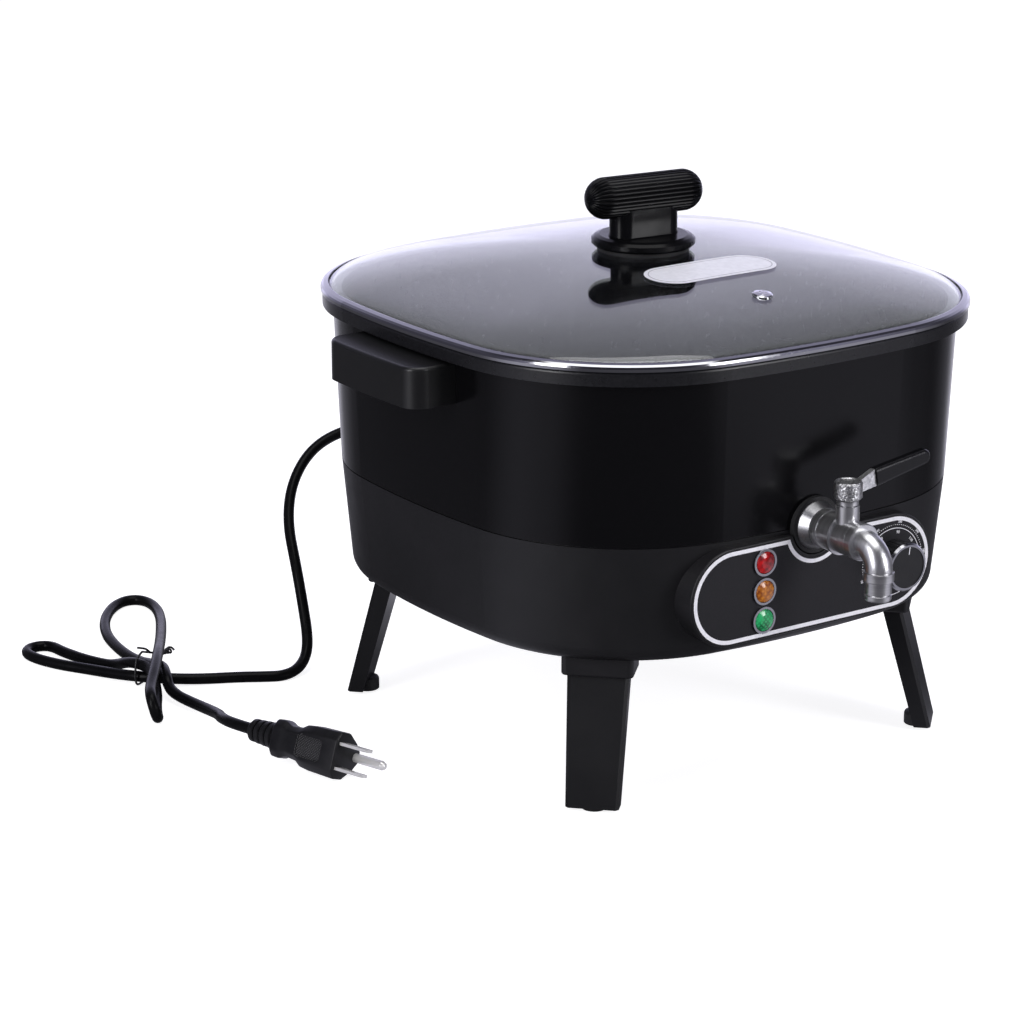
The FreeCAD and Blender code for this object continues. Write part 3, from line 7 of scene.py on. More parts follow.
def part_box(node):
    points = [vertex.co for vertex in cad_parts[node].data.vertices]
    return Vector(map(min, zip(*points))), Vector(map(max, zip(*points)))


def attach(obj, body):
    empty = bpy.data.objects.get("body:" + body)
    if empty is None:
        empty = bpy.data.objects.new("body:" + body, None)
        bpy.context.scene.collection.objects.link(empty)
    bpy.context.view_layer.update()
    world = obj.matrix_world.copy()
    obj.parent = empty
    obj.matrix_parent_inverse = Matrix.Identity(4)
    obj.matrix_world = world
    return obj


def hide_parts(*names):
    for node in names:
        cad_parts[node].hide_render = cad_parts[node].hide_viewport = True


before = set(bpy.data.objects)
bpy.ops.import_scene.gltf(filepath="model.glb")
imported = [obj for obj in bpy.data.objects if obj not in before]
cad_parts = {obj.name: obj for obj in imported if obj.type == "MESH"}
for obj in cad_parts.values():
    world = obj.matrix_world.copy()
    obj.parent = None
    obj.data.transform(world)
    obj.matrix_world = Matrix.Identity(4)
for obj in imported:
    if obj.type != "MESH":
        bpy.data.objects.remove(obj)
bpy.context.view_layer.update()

# ---- camera, room and floor ----
# A long lens looks down at the melter from the front left. The room is white behind the melter and dim
# elsewhere. In reflections the floor shows painted light after the same pattern: a painted pool of soft light
# at the left and one at the front right.
camera_stands = (-1.02782, -1.37181, 0.63278)
looking_at = Vector((-0.08166, 0.0, 0.12183))
lens_long, sensor_wide, nearest_seen = 119.98, 36.0, 0.1
bpy.ops.object.camera_add(location=camera_stands)
camera = bpy.context.object
camera.name = "camera"
camera.rotation_mode = "QUATERNION"
camera.rotation_quaternion = (looking_at - camera.location).to_track_quat("-Z", "Y")
camera.data.lens = lens_long
camera.data.sensor_width = sensor_wide
camera.data.clip_start = nearest_seen
bpy.context.scene.camera = camera
bpy.context.scene.view_settings.view_transform = "Standard"

# brightness all round the room: degrees anticlockwise from the melter's right side, and a grey
room_round = ((-180, 0.62), (-166, 0.50), (-146, 0.10), (-84, 0.12), (-66, 0.55), (-48, 0.55),
              (-32, 0.20), (-14, 0.08), (6, 0.20), (26, 0.95), (84, 0.95), (98, 0.30),
              (122, 0.10), (152, 0.14), (180, 0.62))
# brightness from the floor up: a share of the way to straight overhead, and a grey
room_up = ((0.0, 1.0), (0.06, 1.0), (0.18, 0.78), (0.40, 0.58), (0.60, 0.32), (1.0, 0.23))
room_green, room_blue = 0.985, 1.14  # the greys' slight tint, as shares of their red
room_strength, floor_glow = 1.3, 0.86


def add_ramp(tree, stops, low, span):
    """A colour ramp through the stops, whose places are first put between 0 and 1."""
    ramp = tree.nodes.new("ShaderNodeValToRGB")
    ramp.color_ramp.interpolation = "EASE"
    for index, (place, grey) in enumerate(stops):
        at = (place - low) / span
        if index < 2:
            stop = ramp.color_ramp.elements[index]
            stop.position = at
        else:
            stop = ramp.color_ramp.elements.new(at)
        stop.color = (grey, grey * room_green, grey * room_blue, 1.0)
    return ramp


def light_all_round(tree, socket):
    """The room's brightness in the direction that the socket gives, or the light painted on the floor at the
    place that it gives.
    """
    turn = tree.nodes.new("ShaderNodeTexGradient")
    turn.gradient_type = "RADIAL"
    ramp = add_ramp(tree, room_round, -180.0, 360.0)
    tree.links.new(socket, turn.inputs["Vector"])
    tree.links.new(turn.outputs["Fac"], ramp.inputs["Fac"])
    return ramp.outputs["Color"]


def seen_directly(tree):
    """1 for a ray from the camera or through glass, otherwise 0."""
    path = tree.nodes.new("ShaderNodeLightPath")
    either = tree.nodes.new("ShaderNodeMath")
    either.operation = "MAXIMUM"
    tree.links.new(path.outputs["Is Camera Ray"], either.inputs[0])
    tree.links.new(path.outputs["Is Transmission Ray"], either.inputs[1])
    return either.outputs["Value"]


room = bpy.data.worlds.new("white_room")
bpy.context.scene.world = room
room.use_nodes = True
tree = room.node_tree
tree.nodes.clear()
link = tree.links.new
way = tree.nodes.new("ShaderNodeTexCoord")
height = tree.nodes.new("ShaderNodeSeparateXYZ")
link(way.outputs["Generated"], height.inputs["Vector"])
up_ramp = add_ramp(tree, room_up, 0.0, 1.0)
link(height.outputs["Z"], up_ramp.inputs["Fac"])
walls = tree.nodes.new("ShaderNodeVectorMath")
walls.operation = "MULTIPLY"
link(light_all_round(tree, way.outputs["Generated"]), walls.inputs[0])
link(up_ramp.outputs["Color"], walls.inputs[1])
room_light = tree.nodes.new("ShaderNodeBackground")
room_light.inputs["Strength"].default_value = room_strength
link(walls.outputs["Vector"], room_light.inputs["Color"])
room_white = tree.nodes.new("ShaderNodeBackground")
room_white.inputs["Color"].default_value = (1.0, 1.0, 1.0, 1.0)
room_mix = tree.nodes.new("ShaderNodeMixShader")
room_out = tree.nodes.new("ShaderNodeOutputWorld")
link(seen_directly(tree), room_mix.inputs["Fac"])
link(room_light.outputs["Background"], room_mix.inputs[1])
link(room_white.outputs["Background"], room_mix.inputs[2])
link(room_mix.outputs["Shader"], room_out.inputs["Surface"])


def window_of_light(name, place, aim, width, height, power):
    """A rectangular lamp that faces the point aim."""
    bpy.ops.object.light_add(type="AREA", location=place)
    lamp = bpy.context.object
    lamp.name = name
    lamp.data.shape = "RECTANGLE"
    lamp.data.size = width
    lamp.data.size_y = height
    lamp.data.energy = power
    lamp.rotation_mode = "QUATERNION"
    lamp.rotation_quaternion = (Vector(aim) - Vector(place)).to_track_quat("-Z", "Y")


window_of_light("left_window", (-1.7, -0.35, 0.7), aim=(0, 0, 0.15), width=0.5, height=1.4, power=16)
window_of_light("right_window", (0.75, -1.75, 0.7), aim=(0, 0, 0.15), width=0.5, height=1.4, power=18)
window_of_light("top_window", (0.0, -0.2, 1.8), aim=(0, 0, 0.1), width=1.4, height=1.4, power=18)

bpy.ops.mesh.primitive_plane_add(size=8.0, location=(0, 0, 0))
floor = bpy.context.object
floor.name = "floor"
floor_paint = bpy.data.materials.new("white_floor")
floor_paint.use_nodes = True
tree = floor_paint.node_tree
tree.nodes.clear()
link = tree.links.new
floor_place = tree.nodes.new("ShaderNodeTexCoord")
floor_white = tree.nodes.new("ShaderNodeBsdfDiffuse")
floor_white.inputs["Color"].default_value = (0.6, 0.6, 0.61, 1.0)
floor_lift = tree.nodes.new("ShaderNodeEmission")
floor_lift.inputs["Strength"].default_value = floor_glow
floor_view = tree.nodes.new("ShaderNodeAddShader")
floor_painted_pools = tree.nodes.new("ShaderNodeEmission")
floor_seen = tree.nodes.new("ShaderNodeMixShader")
floor_mirrored = tree.nodes.new("ShaderNodeMixShader")
floor_path = tree.nodes.new("ShaderNodeLightPath")
floor_out = tree.nodes.new("ShaderNodeOutputMaterial")
link(floor_white.outputs["BSDF"], floor_view.inputs[0])
link(floor_lift.outputs["Emission"], floor_view.inputs[1])
link(seen_directly(tree), floor_seen.inputs["Fac"])
link(floor_white.outputs["BSDF"], floor_seen.inputs[1])
link(floor_view.outputs["Shader"], floor_seen.inputs[2])
# the floor's glow for glossy rays is painted light: pools of it follow the room's brightness all round
link(light_all_round(tree, floor_place.outputs["Object"]), floor_painted_pools.inputs["Color"])
link(floor_path.outputs["Is Glossy Ray"], floor_mirrored.inputs["Fac"])
link(floor_seen.outputs["Shader"], floor_mirrored.inputs[1])
link(floor_painted_pools.outputs["Emission"], floor_mirrored.inputs[2])
link(floor_mirrored.outputs["Shader"], floor_out.inputs["Surface"])
floor.data.materials.append(floor_paint)


# ---- mains cord ----
# Round black PVC flex, 6 mm thick. It leaves the boot at the back of the base, drops to the table,
# runs out to the left, is folded into loops under a wire tie, and comes forward to the plug.
cord_thick = 0.006
cord_route = [  # in millimetres
    (-30, 160, 114), (-30, 179.5, 114), (-36.5, 199, 114.5), (-51, 212.5, 111.5), (-70, 216, 103),
    (-87.5, 209, 88), (-98.5, 196.5, 69.5), (-105.1, 176.2, 49), (-108, 165.4, 31.5),
    (-111.4, 155.1, 17), (-116.2, 148.5, 8.2), (-125.6, 141.9, 3.9), (-136.5, 139.1, 3),
    (-146.1, 144.2, 3), (-157.6, 151.4, 3), (-170.5, 157.2, 3.1), (-181.9, 162.2, 3.6),
    (-193.4, 168.3, 4.5), (-204.5, 177.1, 5.2), (-212.1, 192.6, 3.9), (-219.9, 210.4, 3),
    (-227.5, 222.8, 3), (-232.9, 235.5, 3), (-235.2, 245.1, 3), (-234.6, 253, 3), (-230.9, 257.6, 3),
    (-225.4, 259, 3), (-220.2, 257.2, 3), (-217.6, 252, 3), (-217.4, 244.8, 3), (-215, 231.4, 3),
    (-211.9, 220.8, 3), (-207.1, 208.8, 3.2), (-204.9, 200, 5.8), (-204.7, 191.1, 9.4),
    (-204.1, 183, 11.3), (-202.7, 177.1, 11.6), (-202.3, 170.1, 11.4), (-205.4, 160.3, 10.4),
    (-207.7, 153.3, 6.4), (-210.9, 146.6, 3.4), (-216.3, 137.6, 3), (-221.8, 127.2, 3),
    (-225.1, 119.5, 3), (-227.9, 116.6, 6.8), (-229.1, 117.5, 12.3), (-228.1, 121.6, 16.1),
    (-221.3, 134.2, 16.1), (-208.1, 152.9, 18), (-195.3, 173, 17.8), (-179.2, 199.8, 13.5),
    (-161.1, 231.7, 7.6), (-145.7, 260, 3.8), (-137.9, 278.9, 3), (-136.1, 292.6, 3), (-140, 300.6, 3),
    (-148.5, 301.6, 3), (-160.5, 293.2, 3), (-173.9, 275.8, 3), (-183.9, 254.2, 3), (-188.7, 233.9, 3),
    (-191.3, 215.2, 3.4), (-191.6, 199.6, 4.4), (-191.5, 186, 7.2), (-194, 169.8, 11.3),
    (-199.9, 155.8, 10.9), (-201.8, 149.7, 6.4), (-201.8, 141, 4.8), (-200.4, 129.4, 4.4),
    (-199.7, 113.6, 5.2), (-201.8, 96, 7.8), (-207.2, 84, 10.6), (-209, 69.4, 12.5), (-204.9, 56, 12.5),
]


def new_finish(name, colour, roughness, metallic=0.0, specular=0.5):
    """A material of one shader whose patterns read the piece's own coordinates."""
    finish = bpy.data.materials.new(name)
    finish.use_nodes = True
    shader = finish.node_tree.nodes["Principled BSDF"]
    shader.inputs["Base Color"].default_value = (*colour, 1.0)
    shader.inputs["Roughness"].default_value = roughness
    shader.inputs["Metallic"].default_value = metallic
    shader.inputs["Specular IOR Level"].default_value = specular
    place = finish.node_tree.nodes.new("ShaderNodeTexCoord")
    place.name = "place"
    return finish


def speckle(finish, size, stretch=(1.0, 1.0, 1.0)):
    """Noise whose lumps are size metres across, drawn out where stretch is small."""
    nodes, links = finish.node_tree.nodes, finish.node_tree.links
    stretched = nodes.new("ShaderNodeMapping")
    stretched.inputs["Scale"].default_value = stretch
    noise = nodes.new("ShaderNodeTexNoise")
    noise.inputs["Scale"].default_value = 1.0 / size
    links.new(nodes["place"].outputs["Object"], stretched.inputs["Vector"])
    links.new(stretched.outputs["Vector"], noise.inputs["Vector"])
    return noise.outputs["Fac"]


def pattern_of(finish, pattern):
    """The pattern itself, or plain speckle where only the size of its lumps is given."""
    return speckle(finish, pattern) if isinstance(pattern, float) else pattern


def raise_grain(finish, pattern, height, strength=1.0):
    """Bump of a height in metres, added over any bump that is there."""
    pattern = pattern_of(finish, pattern)
    nodes, links = finish.node_tree.nodes, finish.node_tree.links
    shader = nodes["Principled BSDF"]
    bump = nodes.new("ShaderNodeBump")
    bump.inputs["Distance"].default_value = height
    bump.inputs["Strength"].default_value = strength
    if shader.inputs["Normal"].is_linked:
        links.new(shader.inputs["Normal"].links[0].from_socket, bump.inputs["Normal"])
    links.new(pattern, bump.inputs["Height"])
    links.new(bump.outputs["Normal"], shader.inputs["Normal"])


noise_low, noise_high = 0.3, 0.7  # between these, noise holds nearly all of its values


def vary_gloss(finish, pattern, low, high):
    """Roughness that follows a pattern between two values."""
    pattern = pattern_of(finish, pattern)
    nodes, links = finish.node_tree.nodes, finish.node_tree.links
    span = nodes.new("ShaderNodeMapRange")
    span.inputs["From Min"].default_value = noise_low
    span.inputs["From Max"].default_value = noise_high
    span.inputs["To Min"].default_value = low
    span.inputs["To Max"].default_value = high
    links.new(pattern, span.inputs["Value"])
    links.new(span.outputs["Result"], nodes["Principled BSDF"].inputs["Roughness"])


def vary_colour(finish, pattern, dark, light):
    """Base colour that follows a pattern between two colours."""
    pattern = pattern_of(finish, pattern)
    nodes, links = finish.node_tree.nodes, finish.node_tree.links
    ramp = nodes.new("ShaderNodeValToRGB")
    ramp.color_ramp.elements[0].position = noise_low
    ramp.color_ramp.elements[0].color = (*dark, 1.0)
    ramp.color_ramp.elements[1].position = noise_high
    ramp.color_ramp.elements[1].color = (*light, 1.0)
    links.new(pattern, ramp.inputs["Fac"])
    links.new(ramp.outputs["Color"], nodes["Principled BSDF"].inputs["Base Color"])


def give_finish(finish, *names):
    """Puts the material on the frame's own nodes."""
    for name in names:
        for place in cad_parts[name].material_slots:
            place.material = finish


flex_line = bpy.data.curves.new("mains_flex", "CURVE")
flex_line.dimensions = "3D"
flex_strand = flex_line.splines.new("NURBS")
flex_strand.points.add(len(cord_route) - 1)
for flex_point, flex_place in zip(flex_strand.points, cord_route):
    flex_point.co = (*(number / 1000 for number in flex_place), 1.0)
flex_strand.order_u = 3
flex_strand.use_endpoint_u = True
flex_strand.use_smooth = True
flex_line.resolution_u = 8
flex_line.bevel_depth = cord_thick / 2
flex_line.bevel_resolution = 5
flex_line.use_fill_caps = True
flex = bpy.data.objects.new("mains_flex", flex_line)
bpy.context.collection.objects.link(flex)

cord_vinyl = new_finish("cord_vinyl", (0.004, 0.004, 0.0045), 0.26, specular=0.08)
vary_colour(cord_vinyl, 0.02, (0.003, 0.003, 0.0035), (0.006, 0.006, 0.0065))
vary_gloss(cord_vinyl, 0.004, 0.25, 0.33)
raise_grain(cord_vinyl, 0.0006, 0.00002, 0.5)
flex_line.materials.append(cord_vinyl)
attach(flex, "pot_body")
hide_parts("power_cord")
give_finish(cord_vinyl, "cord_gland")

# ---- plug ----
# One black vinyl moulding on the cord's end: a ringed boot, a collar, a waist to hold it by and a flat
# body with a knurled thumb rest. Two flat blades and a round earth pin of nickelled brass stand in it.
plug_start = Vector((-0.2049, 0.0560, 0.0125))
plug_along = Vector((0.29258, -0.95625, 0.0))
plug_level = Vector((0.95625, 0.29258, 0.0))
plug_up = Vector((0.0, 0.0, 1.0))
plug_roll = math.radians(20.5)
plug_side = plug_level * math.cos(plug_roll) - plug_up * math.sin(plug_roll)
plug_top = plug_up * math.cos(plug_roll) + plug_level * math.sin(plug_roll)
plug_place = Matrix.Translation(plug_start) @ Matrix((plug_along, plug_side, plug_top)).transposed().to_4x4()
# The outline of the plug's face is in millimetres to the side and up. Each station is a place in
# millimetres from the boot's start, with the outline's scales there to the side and up.
plug_face = 63.0
plug_outline = ((-9.0, 7.9), (-6.0, 12.0), (1.0, 12.0), (8.0, 7.0), (11.5, 3.0),
                (11.5, -3.0), (8.0, -7.0), (1.0, -12.0), (-6.0, -12.0), (-9.0, -7.9))
plug_stations = ((46.0, 0.97, 0.96), (40.0, 0.95, 0.90), (36.5, 0.92, 0.72), (30.5, 0.90, 0.67),
                 (28.0, 0.88, 0.70), (25.6, 0.88, 0.80), (24.2, 0.88, 0.82), (19.8, 0.86, 0.80),
                 (18.0, 0.70, 0.62))
plug_edge, plug_edge_turn = 0.0007, math.radians(22)
# the thumb rest, a shallow pocket with a knurled floor, in metres
rest_middle, rest_size, rest_corner = (0.0455, -0.0090, 0.0), (0.0165, 0.0020, 0.0112), 0.0018
rest_floor, rest_reach, thumb_pitch = (-0.0085, -0.0075), (0.036, 0.055), 0.0011
# the boot, in millimetres
boot_mouth, boot_end = 3.3, (18.6, 6.3)
boot_rings, boot_start, boot_pitch, boot_width, boot_edge = 4, 1.5, 4.1, 3.1, 0.5
ring_first, ring_growth, core_first, core_growth = 6.0, 0.28, 4.9, 0.35


def start_piece(name):
    """Names the new primitive, which is the only thing left selected."""
    piece = bpy.context.object
    piece.name = name
    piece.data.name = name
    return piece


def deselect_all():
    """Leaves edit mode and selects nothing."""
    if bpy.context.object and bpy.context.object.mode != "OBJECT":
        bpy.ops.object.mode_set(mode="OBJECT")
    bpy.ops.object.select_all(action="DESELECT")


def choose(piece, kind, test):
    """In edit mode, selects the vertices, edges or faces that pass the test, and nothing else."""
    bpy.ops.object.mode_set(mode="EDIT")
    bpy.ops.mesh.select_mode(type=kind)
    bpy.ops.mesh.select_all(action="DESELECT")
    mesh = bmesh.from_edit_mesh(piece.data)
    for item in {"VERT": mesh.verts, "EDGE": mesh.edges, "FACE": mesh.faces}[kind]:
        if test(item):
            item.select_set(True)
    mesh.select_flush_mode()
    bmesh.update_edit_mesh(piece.data)


def choose_faces(piece):
    """In edit mode, selects every face of the piece."""
    choose(piece, "FACE", lambda face: True)


def pick(piece, *others):
    """Selects the piece, makes it the active one, and selects the others with it."""
    deselect_all()
    for other in others:
        other.select_set(True)
    piece.select_set(True)
    bpy.context.view_layer.objects.active = piece


def settle(piece):
    """Leaves edit mode and puts the piece's place into its mesh."""
    pick(piece)
    bpy.ops.object.transform_apply(location=True, rotation=True, scale=True)


def apply_modifier(piece, kind, **settings):
    """Adds one modifier and applies it."""
    change = piece.modifiers.new("change", kind)
    for key, value in settings.items():
        setattr(change, key, value)
    bpy.context.view_layer.objects.active = piece
    bpy.ops.object.modifier_apply(modifier="change")


def face_outward(piece):
    """Merges doubles, points every face outwards and leaves edit mode."""
    choose_faces(piece)
    bpy.ops.mesh.remove_doubles(threshold=1e-6)
    bpy.ops.mesh.normals_make_consistent(inside=False)
    bpy.ops.object.mode_set(mode="OBJECT")


def smooth_below(piece, degrees):
    """Smooth shading across edges that turn by less than the angle."""
    pick(piece)
    bpy.ops.object.shade_smooth_by_angle(angle=math.radians(degrees))


def stretch_to(shift, scale=None, centre=(0, 0, 0)):
    """Extrudes the selected faces by shift, and may scale their new end about the centre."""
    bpy.ops.mesh.extrude_region_move(TRANSFORM_OT_translate={"value": shift})
    if scale:
        bpy.ops.transform.resize(value=scale, center_override=centre)


def join_into(piece, *others):
    """Joins the others to the piece as one mesh."""
    pick(piece, *others)
    bpy.ops.object.join()


def set_place(piece, place):
    """Turns and moves a finished mesh, whose object stays at the origin."""
    deselect_all()
    piece.matrix_world = place
    settle(piece)


def cut_away(piece, cutter):
    """Cuts the cutter's shape out of the piece, and removes the cutter."""
    deselect_all()
    apply_modifier(piece, "BOOLEAN", object=cutter, operation="DIFFERENCE", solver="EXACT")
    bpy.data.objects.remove(cutter)


def carry(piece, finish, body):
    """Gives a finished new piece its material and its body."""
    if finish:
        piece.data.materials.clear()
        piece.data.materials.append(finish)
    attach(piece, body)


# a face of ten corners, which are put on the outline next
deselect_all()
bpy.ops.mesh.primitive_circle_add(vertices=len(plug_outline), radius=0.01, fill_type="NGON",
                                  rotation=(0, math.pi / 2, 0))
plug = start_piece("plug_moulding")
settle(plug)
for corner, (side, top) in zip(plug.data.vertices, plug_outline):
    corner.co = (plug_face / 1000, side / 1000, top / 1000)
choose_faces(plug)
plug_at, plug_wide, plug_tall = plug_face, 1.0, 1.0
for at, wide, tall in plug_stations:
    stretch_to(((at - plug_at) / 1000, 0, 0), (1, wide / plug_wide, tall / plug_tall), (at / 1000, 0, 0))
    plug_at, plug_wide, plug_tall = at, wide, tall
face_outward(plug)
plug_vinyl = new_finish("plug_vinyl", (0.008, 0.008, 0.009), 0.34, specular=0.22)
vary_colour(plug_vinyl, 0.006, (0.006, 0.006, 0.007), (0.010, 0.010, 0.011))
raise_grain(plug_vinyl, 0.0005, 0.00004, 0.6)


def ridges(finish, direction, pitch):
    """Even waves, 0 to 1, that follow each other along the direction at the pitch."""
    nodes, links = finish.node_tree.nodes, finish.node_tree.links
    along = nodes.new("ShaderNodeVectorMath")
    along.operation = "DOT_PRODUCT"
    along.inputs[1].default_value = Vector(direction).normalized() * (2 * math.pi / pitch)
    wave = nodes.new("ShaderNodeMath")
    wave.operation = "SINE"
    lift = nodes.new("ShaderNodeMath")
    lift.operation = "MULTIPLY_ADD"
    lift.inputs[1].default_value = 0.5
    lift.inputs[2].default_value = 0.5
    links.new(nodes["place"].outputs["Object"], along.inputs[0])
    links.new(along.outputs["Value"], wave.inputs[0])
    links.new(wave.outputs["Value"], lift.inputs[0])
    return lift.outputs["Value"]


def lower_of(finish, first, second):
    """The lower of two patterns, which leaves diamonds between crossing grooves."""
    nodes, links = finish.node_tree.nodes, finish.node_tree.links
    lower = nodes.new("ShaderNodeMath")
    lower.operation = "MINIMUM"
    links.new(first, lower.inputs[0])
    links.new(second, lower.inputs[1])
    return lower.outputs["Value"]


thumb_grip = new_finish("thumb_grip", (0.010, 0.010, 0.011), 0.5)
thumb_diamonds = lower_of(thumb_grip, ridges(thumb_grip, plug_along + plug_top, thumb_pitch),
                          ridges(thumb_grip, plug_along - plug_top, thumb_pitch))
# The colour paints shade into the grooves and a lighter painted sheen onto the diamond tops.
vary_colour(thumb_grip, thumb_diamonds, (0.001, 0.001, 0.001), (0.060, 0.058, 0.066))
raise_grain(thumb_grip, thumb_diamonds, 0.0004, 1.0)
plug.data.materials.append(plug_vinyl)
plug.data.materials.append(thumb_grip)
apply_modifier(plug, "BEVEL", width=plug_edge, segments=3, limit_method="ANGLE", angle_limit=plug_edge_turn)
deselect_all()
bpy.ops.mesh.primitive_cube_add(size=1.0, location=rest_middle, scale=rest_size)
rest = start_piece("thumb_rest_cutter")
settle(rest)
choose(rest, "EDGE", lambda edge: abs(edge.verts[0].co.y - edge.verts[1].co.y) > 0.001)
bpy.ops.mesh.bevel(offset=rest_corner, segments=5, affect="EDGES")
cut_away(plug, rest)
choose(plug, "FACE", lambda face: face.normal.y < -0.99
       and rest_floor[0] < face.calc_center_median().y < rest_floor[1]
       and rest_reach[0] < face.calc_center_median().x < rest_reach[1])
plug.active_material_index = 1
bpy.ops.object.material_slot_assign()
bpy.ops.object.mode_set(mode="OBJECT")

deselect_all()
bpy.ops.mesh.primitive_circle_add(vertices=48, radius=boot_mouth / 1000, fill_type="NGON",
                                  rotation=(0, math.pi / 2, 0))
boot = start_piece("plug_boot")
settle(boot)
boot_profile = [(0.0, boot_mouth), (0.0, 4.3), (1.2, 4.6)]
for ring in range(boot_rings):
    ring_start = boot_start + ring * boot_pitch
    ring_end = ring_start + boot_width
    ring_r = ring_first + ring_growth * ring
    core_r = core_first + core_growth * ring
    boot_profile += [(ring_start, core_r), (ring_start, ring_r - boot_edge), (ring_start + boot_edge, ring_r),
                     (ring_end - boot_edge, ring_r), (ring_end, ring_r - boot_edge), (ring_end, core_r)]
boot_profile += [boot_end]
choose_faces(boot)
boot_at, boot_r = 0.0, boot_mouth
for at, radius in boot_profile[1:]:
    stretch_to(((at - boot_at) / 1000, 0, 0), (1, radius / boot_r, radius / boot_r), (at / 1000, 0, 0))
    boot_at, boot_r = at, radius
face_outward(boot)
boot.data.materials.append(plug_vinyl)
join_into(plug, boot)
smooth_below(plug, 32)
set_place(plug, plug_place)
carry(plug, None, "pot_body")
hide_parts("plug_body")

pin_nickel = new_finish("pin_nickel", (0.84, 0.83, 0.81), 0.20, metallic=0.5)
vary_gloss(pin_nickel, 0.003, 0.16, 0.26)
give_finish(pin_nickel, "plug_blades", "plug_ground_pin")

# ---- wire tie ----
# Thin black plastic-coated wire, bent round the folded cord and twisted shut, with its two ends
# curled. It lies in one upright plane across the strands.
tie_middle = Vector((-0.2005, 0.1806, 0.0))
tie_angle = math.radians(34.8)
tie_across = Vector((math.cos(tie_angle), math.sin(tie_angle), 0.0))
tie_off = Vector((-math.sin(tie_angle), math.cos(tie_angle), 0.0))
# the rest in millimetres: across the strands, up, and off that plane
tie_radius = 0.6
tie_round = ((3.5, 0.8), (-5.8, 0.8), (-8.4, 1.8), (-9.9, 5.4), (-9.5, 8.0), (-8.5, 13.6), (-7.4, 15.8),
             (-3.0, 17.4), (-0.4, 17.9), (1.4, 17.1), (11.8, 13.3), (13.9, 12.1), (16.8, 7.6),
             (17.5, 5.8), (16.6, 3.2), (15.0, 1.1), (12.6, 0.8))
tie_tail = ((9.0, 14.2, 0.0), (6.6, 16.4, 0.4), (4.6, 18.0, 1.0), (0.4, 19.4, 3.2))
twist_across, twist_up, twist_long, twist_drop = 15.4, 10.2, 18.6, 2.4
twist_steps, twist_half_turns, twist_r = 30, 7, 0.75
loose_from, loose_rate = 0.55, 2.6  # past this share of the twist, its two ends spread


def tie_point(across, up, off=0.0):
    """A point of the tie in metres."""
    return tie_middle + (tie_across * across + tie_off * off + Vector((0, 0, 1)) * up) / 1000


def add_wire(line, points, closed=False):
    """A smooth strand that follows the points."""
    strand = line.splines.new("NURBS")
    strand.points.add(len(points) - 1)
    for point, place in zip(strand.points, points):
        point.co = (*place, 1.0)
    strand.use_cyclic_u = closed
    strand.order_u = 3
    strand.use_endpoint_u = not closed


tie_line = bpy.data.curves.new("wire_tie", "CURVE")
tie_line.dimensions = "3D"
add_wire(tie_line, [tie_point(*spot) for spot in tie_round], closed=True)
add_wire(tie_line, [tie_point(*spot) for spot in tie_tail])
for phase in (0.0, math.pi):
    twist = []
    for step in range(twist_steps + 1):
        along = step / twist_steps
        turn = phase + along * twist_half_turns * math.pi
        reach = twist_r + loose_rate * max(0.0, along - loose_from)
        up = twist_up - twist_drop * along + reach * math.sin(turn)
        twist.append(tie_point(twist_across + twist_long * along, up, reach * math.cos(turn)))
    add_wire(tie_line, twist)
tie_line.resolution_u = 6
tie_line.bevel_depth = tie_radius / 1000
tie_line.bevel_resolution = 3
tie_line.use_fill_caps = True
tie = bpy.data.objects.new("wire_tie", tie_line)
bpy.context.collection.objects.link(tie)
tie_plastic = new_finish("tie_plastic", (0.012, 0.012, 0.013), 0.35, specular=0.45)
vary_gloss(tie_plastic, 0.002, 0.30, 0.44)
raise_grain(tie_plastic, 0.0003, 0.00001, 0.5)
tie_line.materials.append(tie_plastic)
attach(tie, "pot_body")
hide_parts("cord_tie")

# ---- base, its cover and its screws ----
# The lower body is a black ABS moulding with a satin, finely sparked skin. A pressed cover with air
# slots closes it from below, and the same plastic makes the four leg sockets.
base_abs = new_finish("base_abs", (0.010, 0.010, 0.011), 0.40, specular=0.30)
vary_colour(base_abs, 0.05, (0.009, 0.009, 0.010), (0.012, 0.0115, 0.013))
vary_gloss(base_abs, 0.012, 0.36, 0.44)
raise_grain(base_abs, 0.0007, 0.00003, 0.5)
give_finish(base_abs, "base_shell", "base_cover", "leg_sockets")

screw_zinc = new_finish("screw_zinc", (0.46, 0.46, 0.47), 0.35, metallic=1.0)
vary_gloss(screw_zinc, 0.002, 0.28, 0.46)
raise_grain(screw_zinc, 0.0005, 0.00002, 0.5)
give_finish(screw_zinc, "cover_screws", "pot_screws", "handle_screws", "leg_screws", "knob_screw")

# ---- legs and feet ----
# Four legs of the same black plastic, pushed into the sockets and screwed from inside. Each has a
# round rubber foot let into its lower end.
leg_abs = new_finish("leg_abs", (0.008, 0.008, 0.009), 0.38, specular=0.20)
vary_colour(leg_abs, 0.03, (0.006, 0.006, 0.007), (0.009, 0.009, 0.010))
raise_grain(leg_abs, 0.0008, 0.00003, 0.5)
give_finish(leg_abs, "front_left_leg", "front_right_leg", "back_left_leg", "back_right_leg")

foot_rubber = new_finish("foot_rubber", (0.014, 0.014, 0.015), 0.62, specular=0.35)
vary_gloss(foot_rubber, 0.002, 0.55, 0.70)
raise_grain(foot_rubber, 0.0006, 0.00006, 0.6)
give_finish(foot_rubber, "foot_pads", "knob_seal", "tap_gasket", "tap_inner_gasket")

# ---- pot housing and inner pot ----
# The upper body is a drawn aluminium shell in gloss black enamel. The pot that hangs in it has a
# turned-down flange, and inside a smooth black non-stick coating with faint specks.
enamel = new_finish("black_enamel", (0.0028, 0.0027, 0.0032), 0.20, specular=0.22)
vary_gloss(enamel, 0.06, 0.17, 0.23)
raise_grain(enamel, 0.004, 0.00001, 0.4)
give_finish(enamel, "pot_housing")

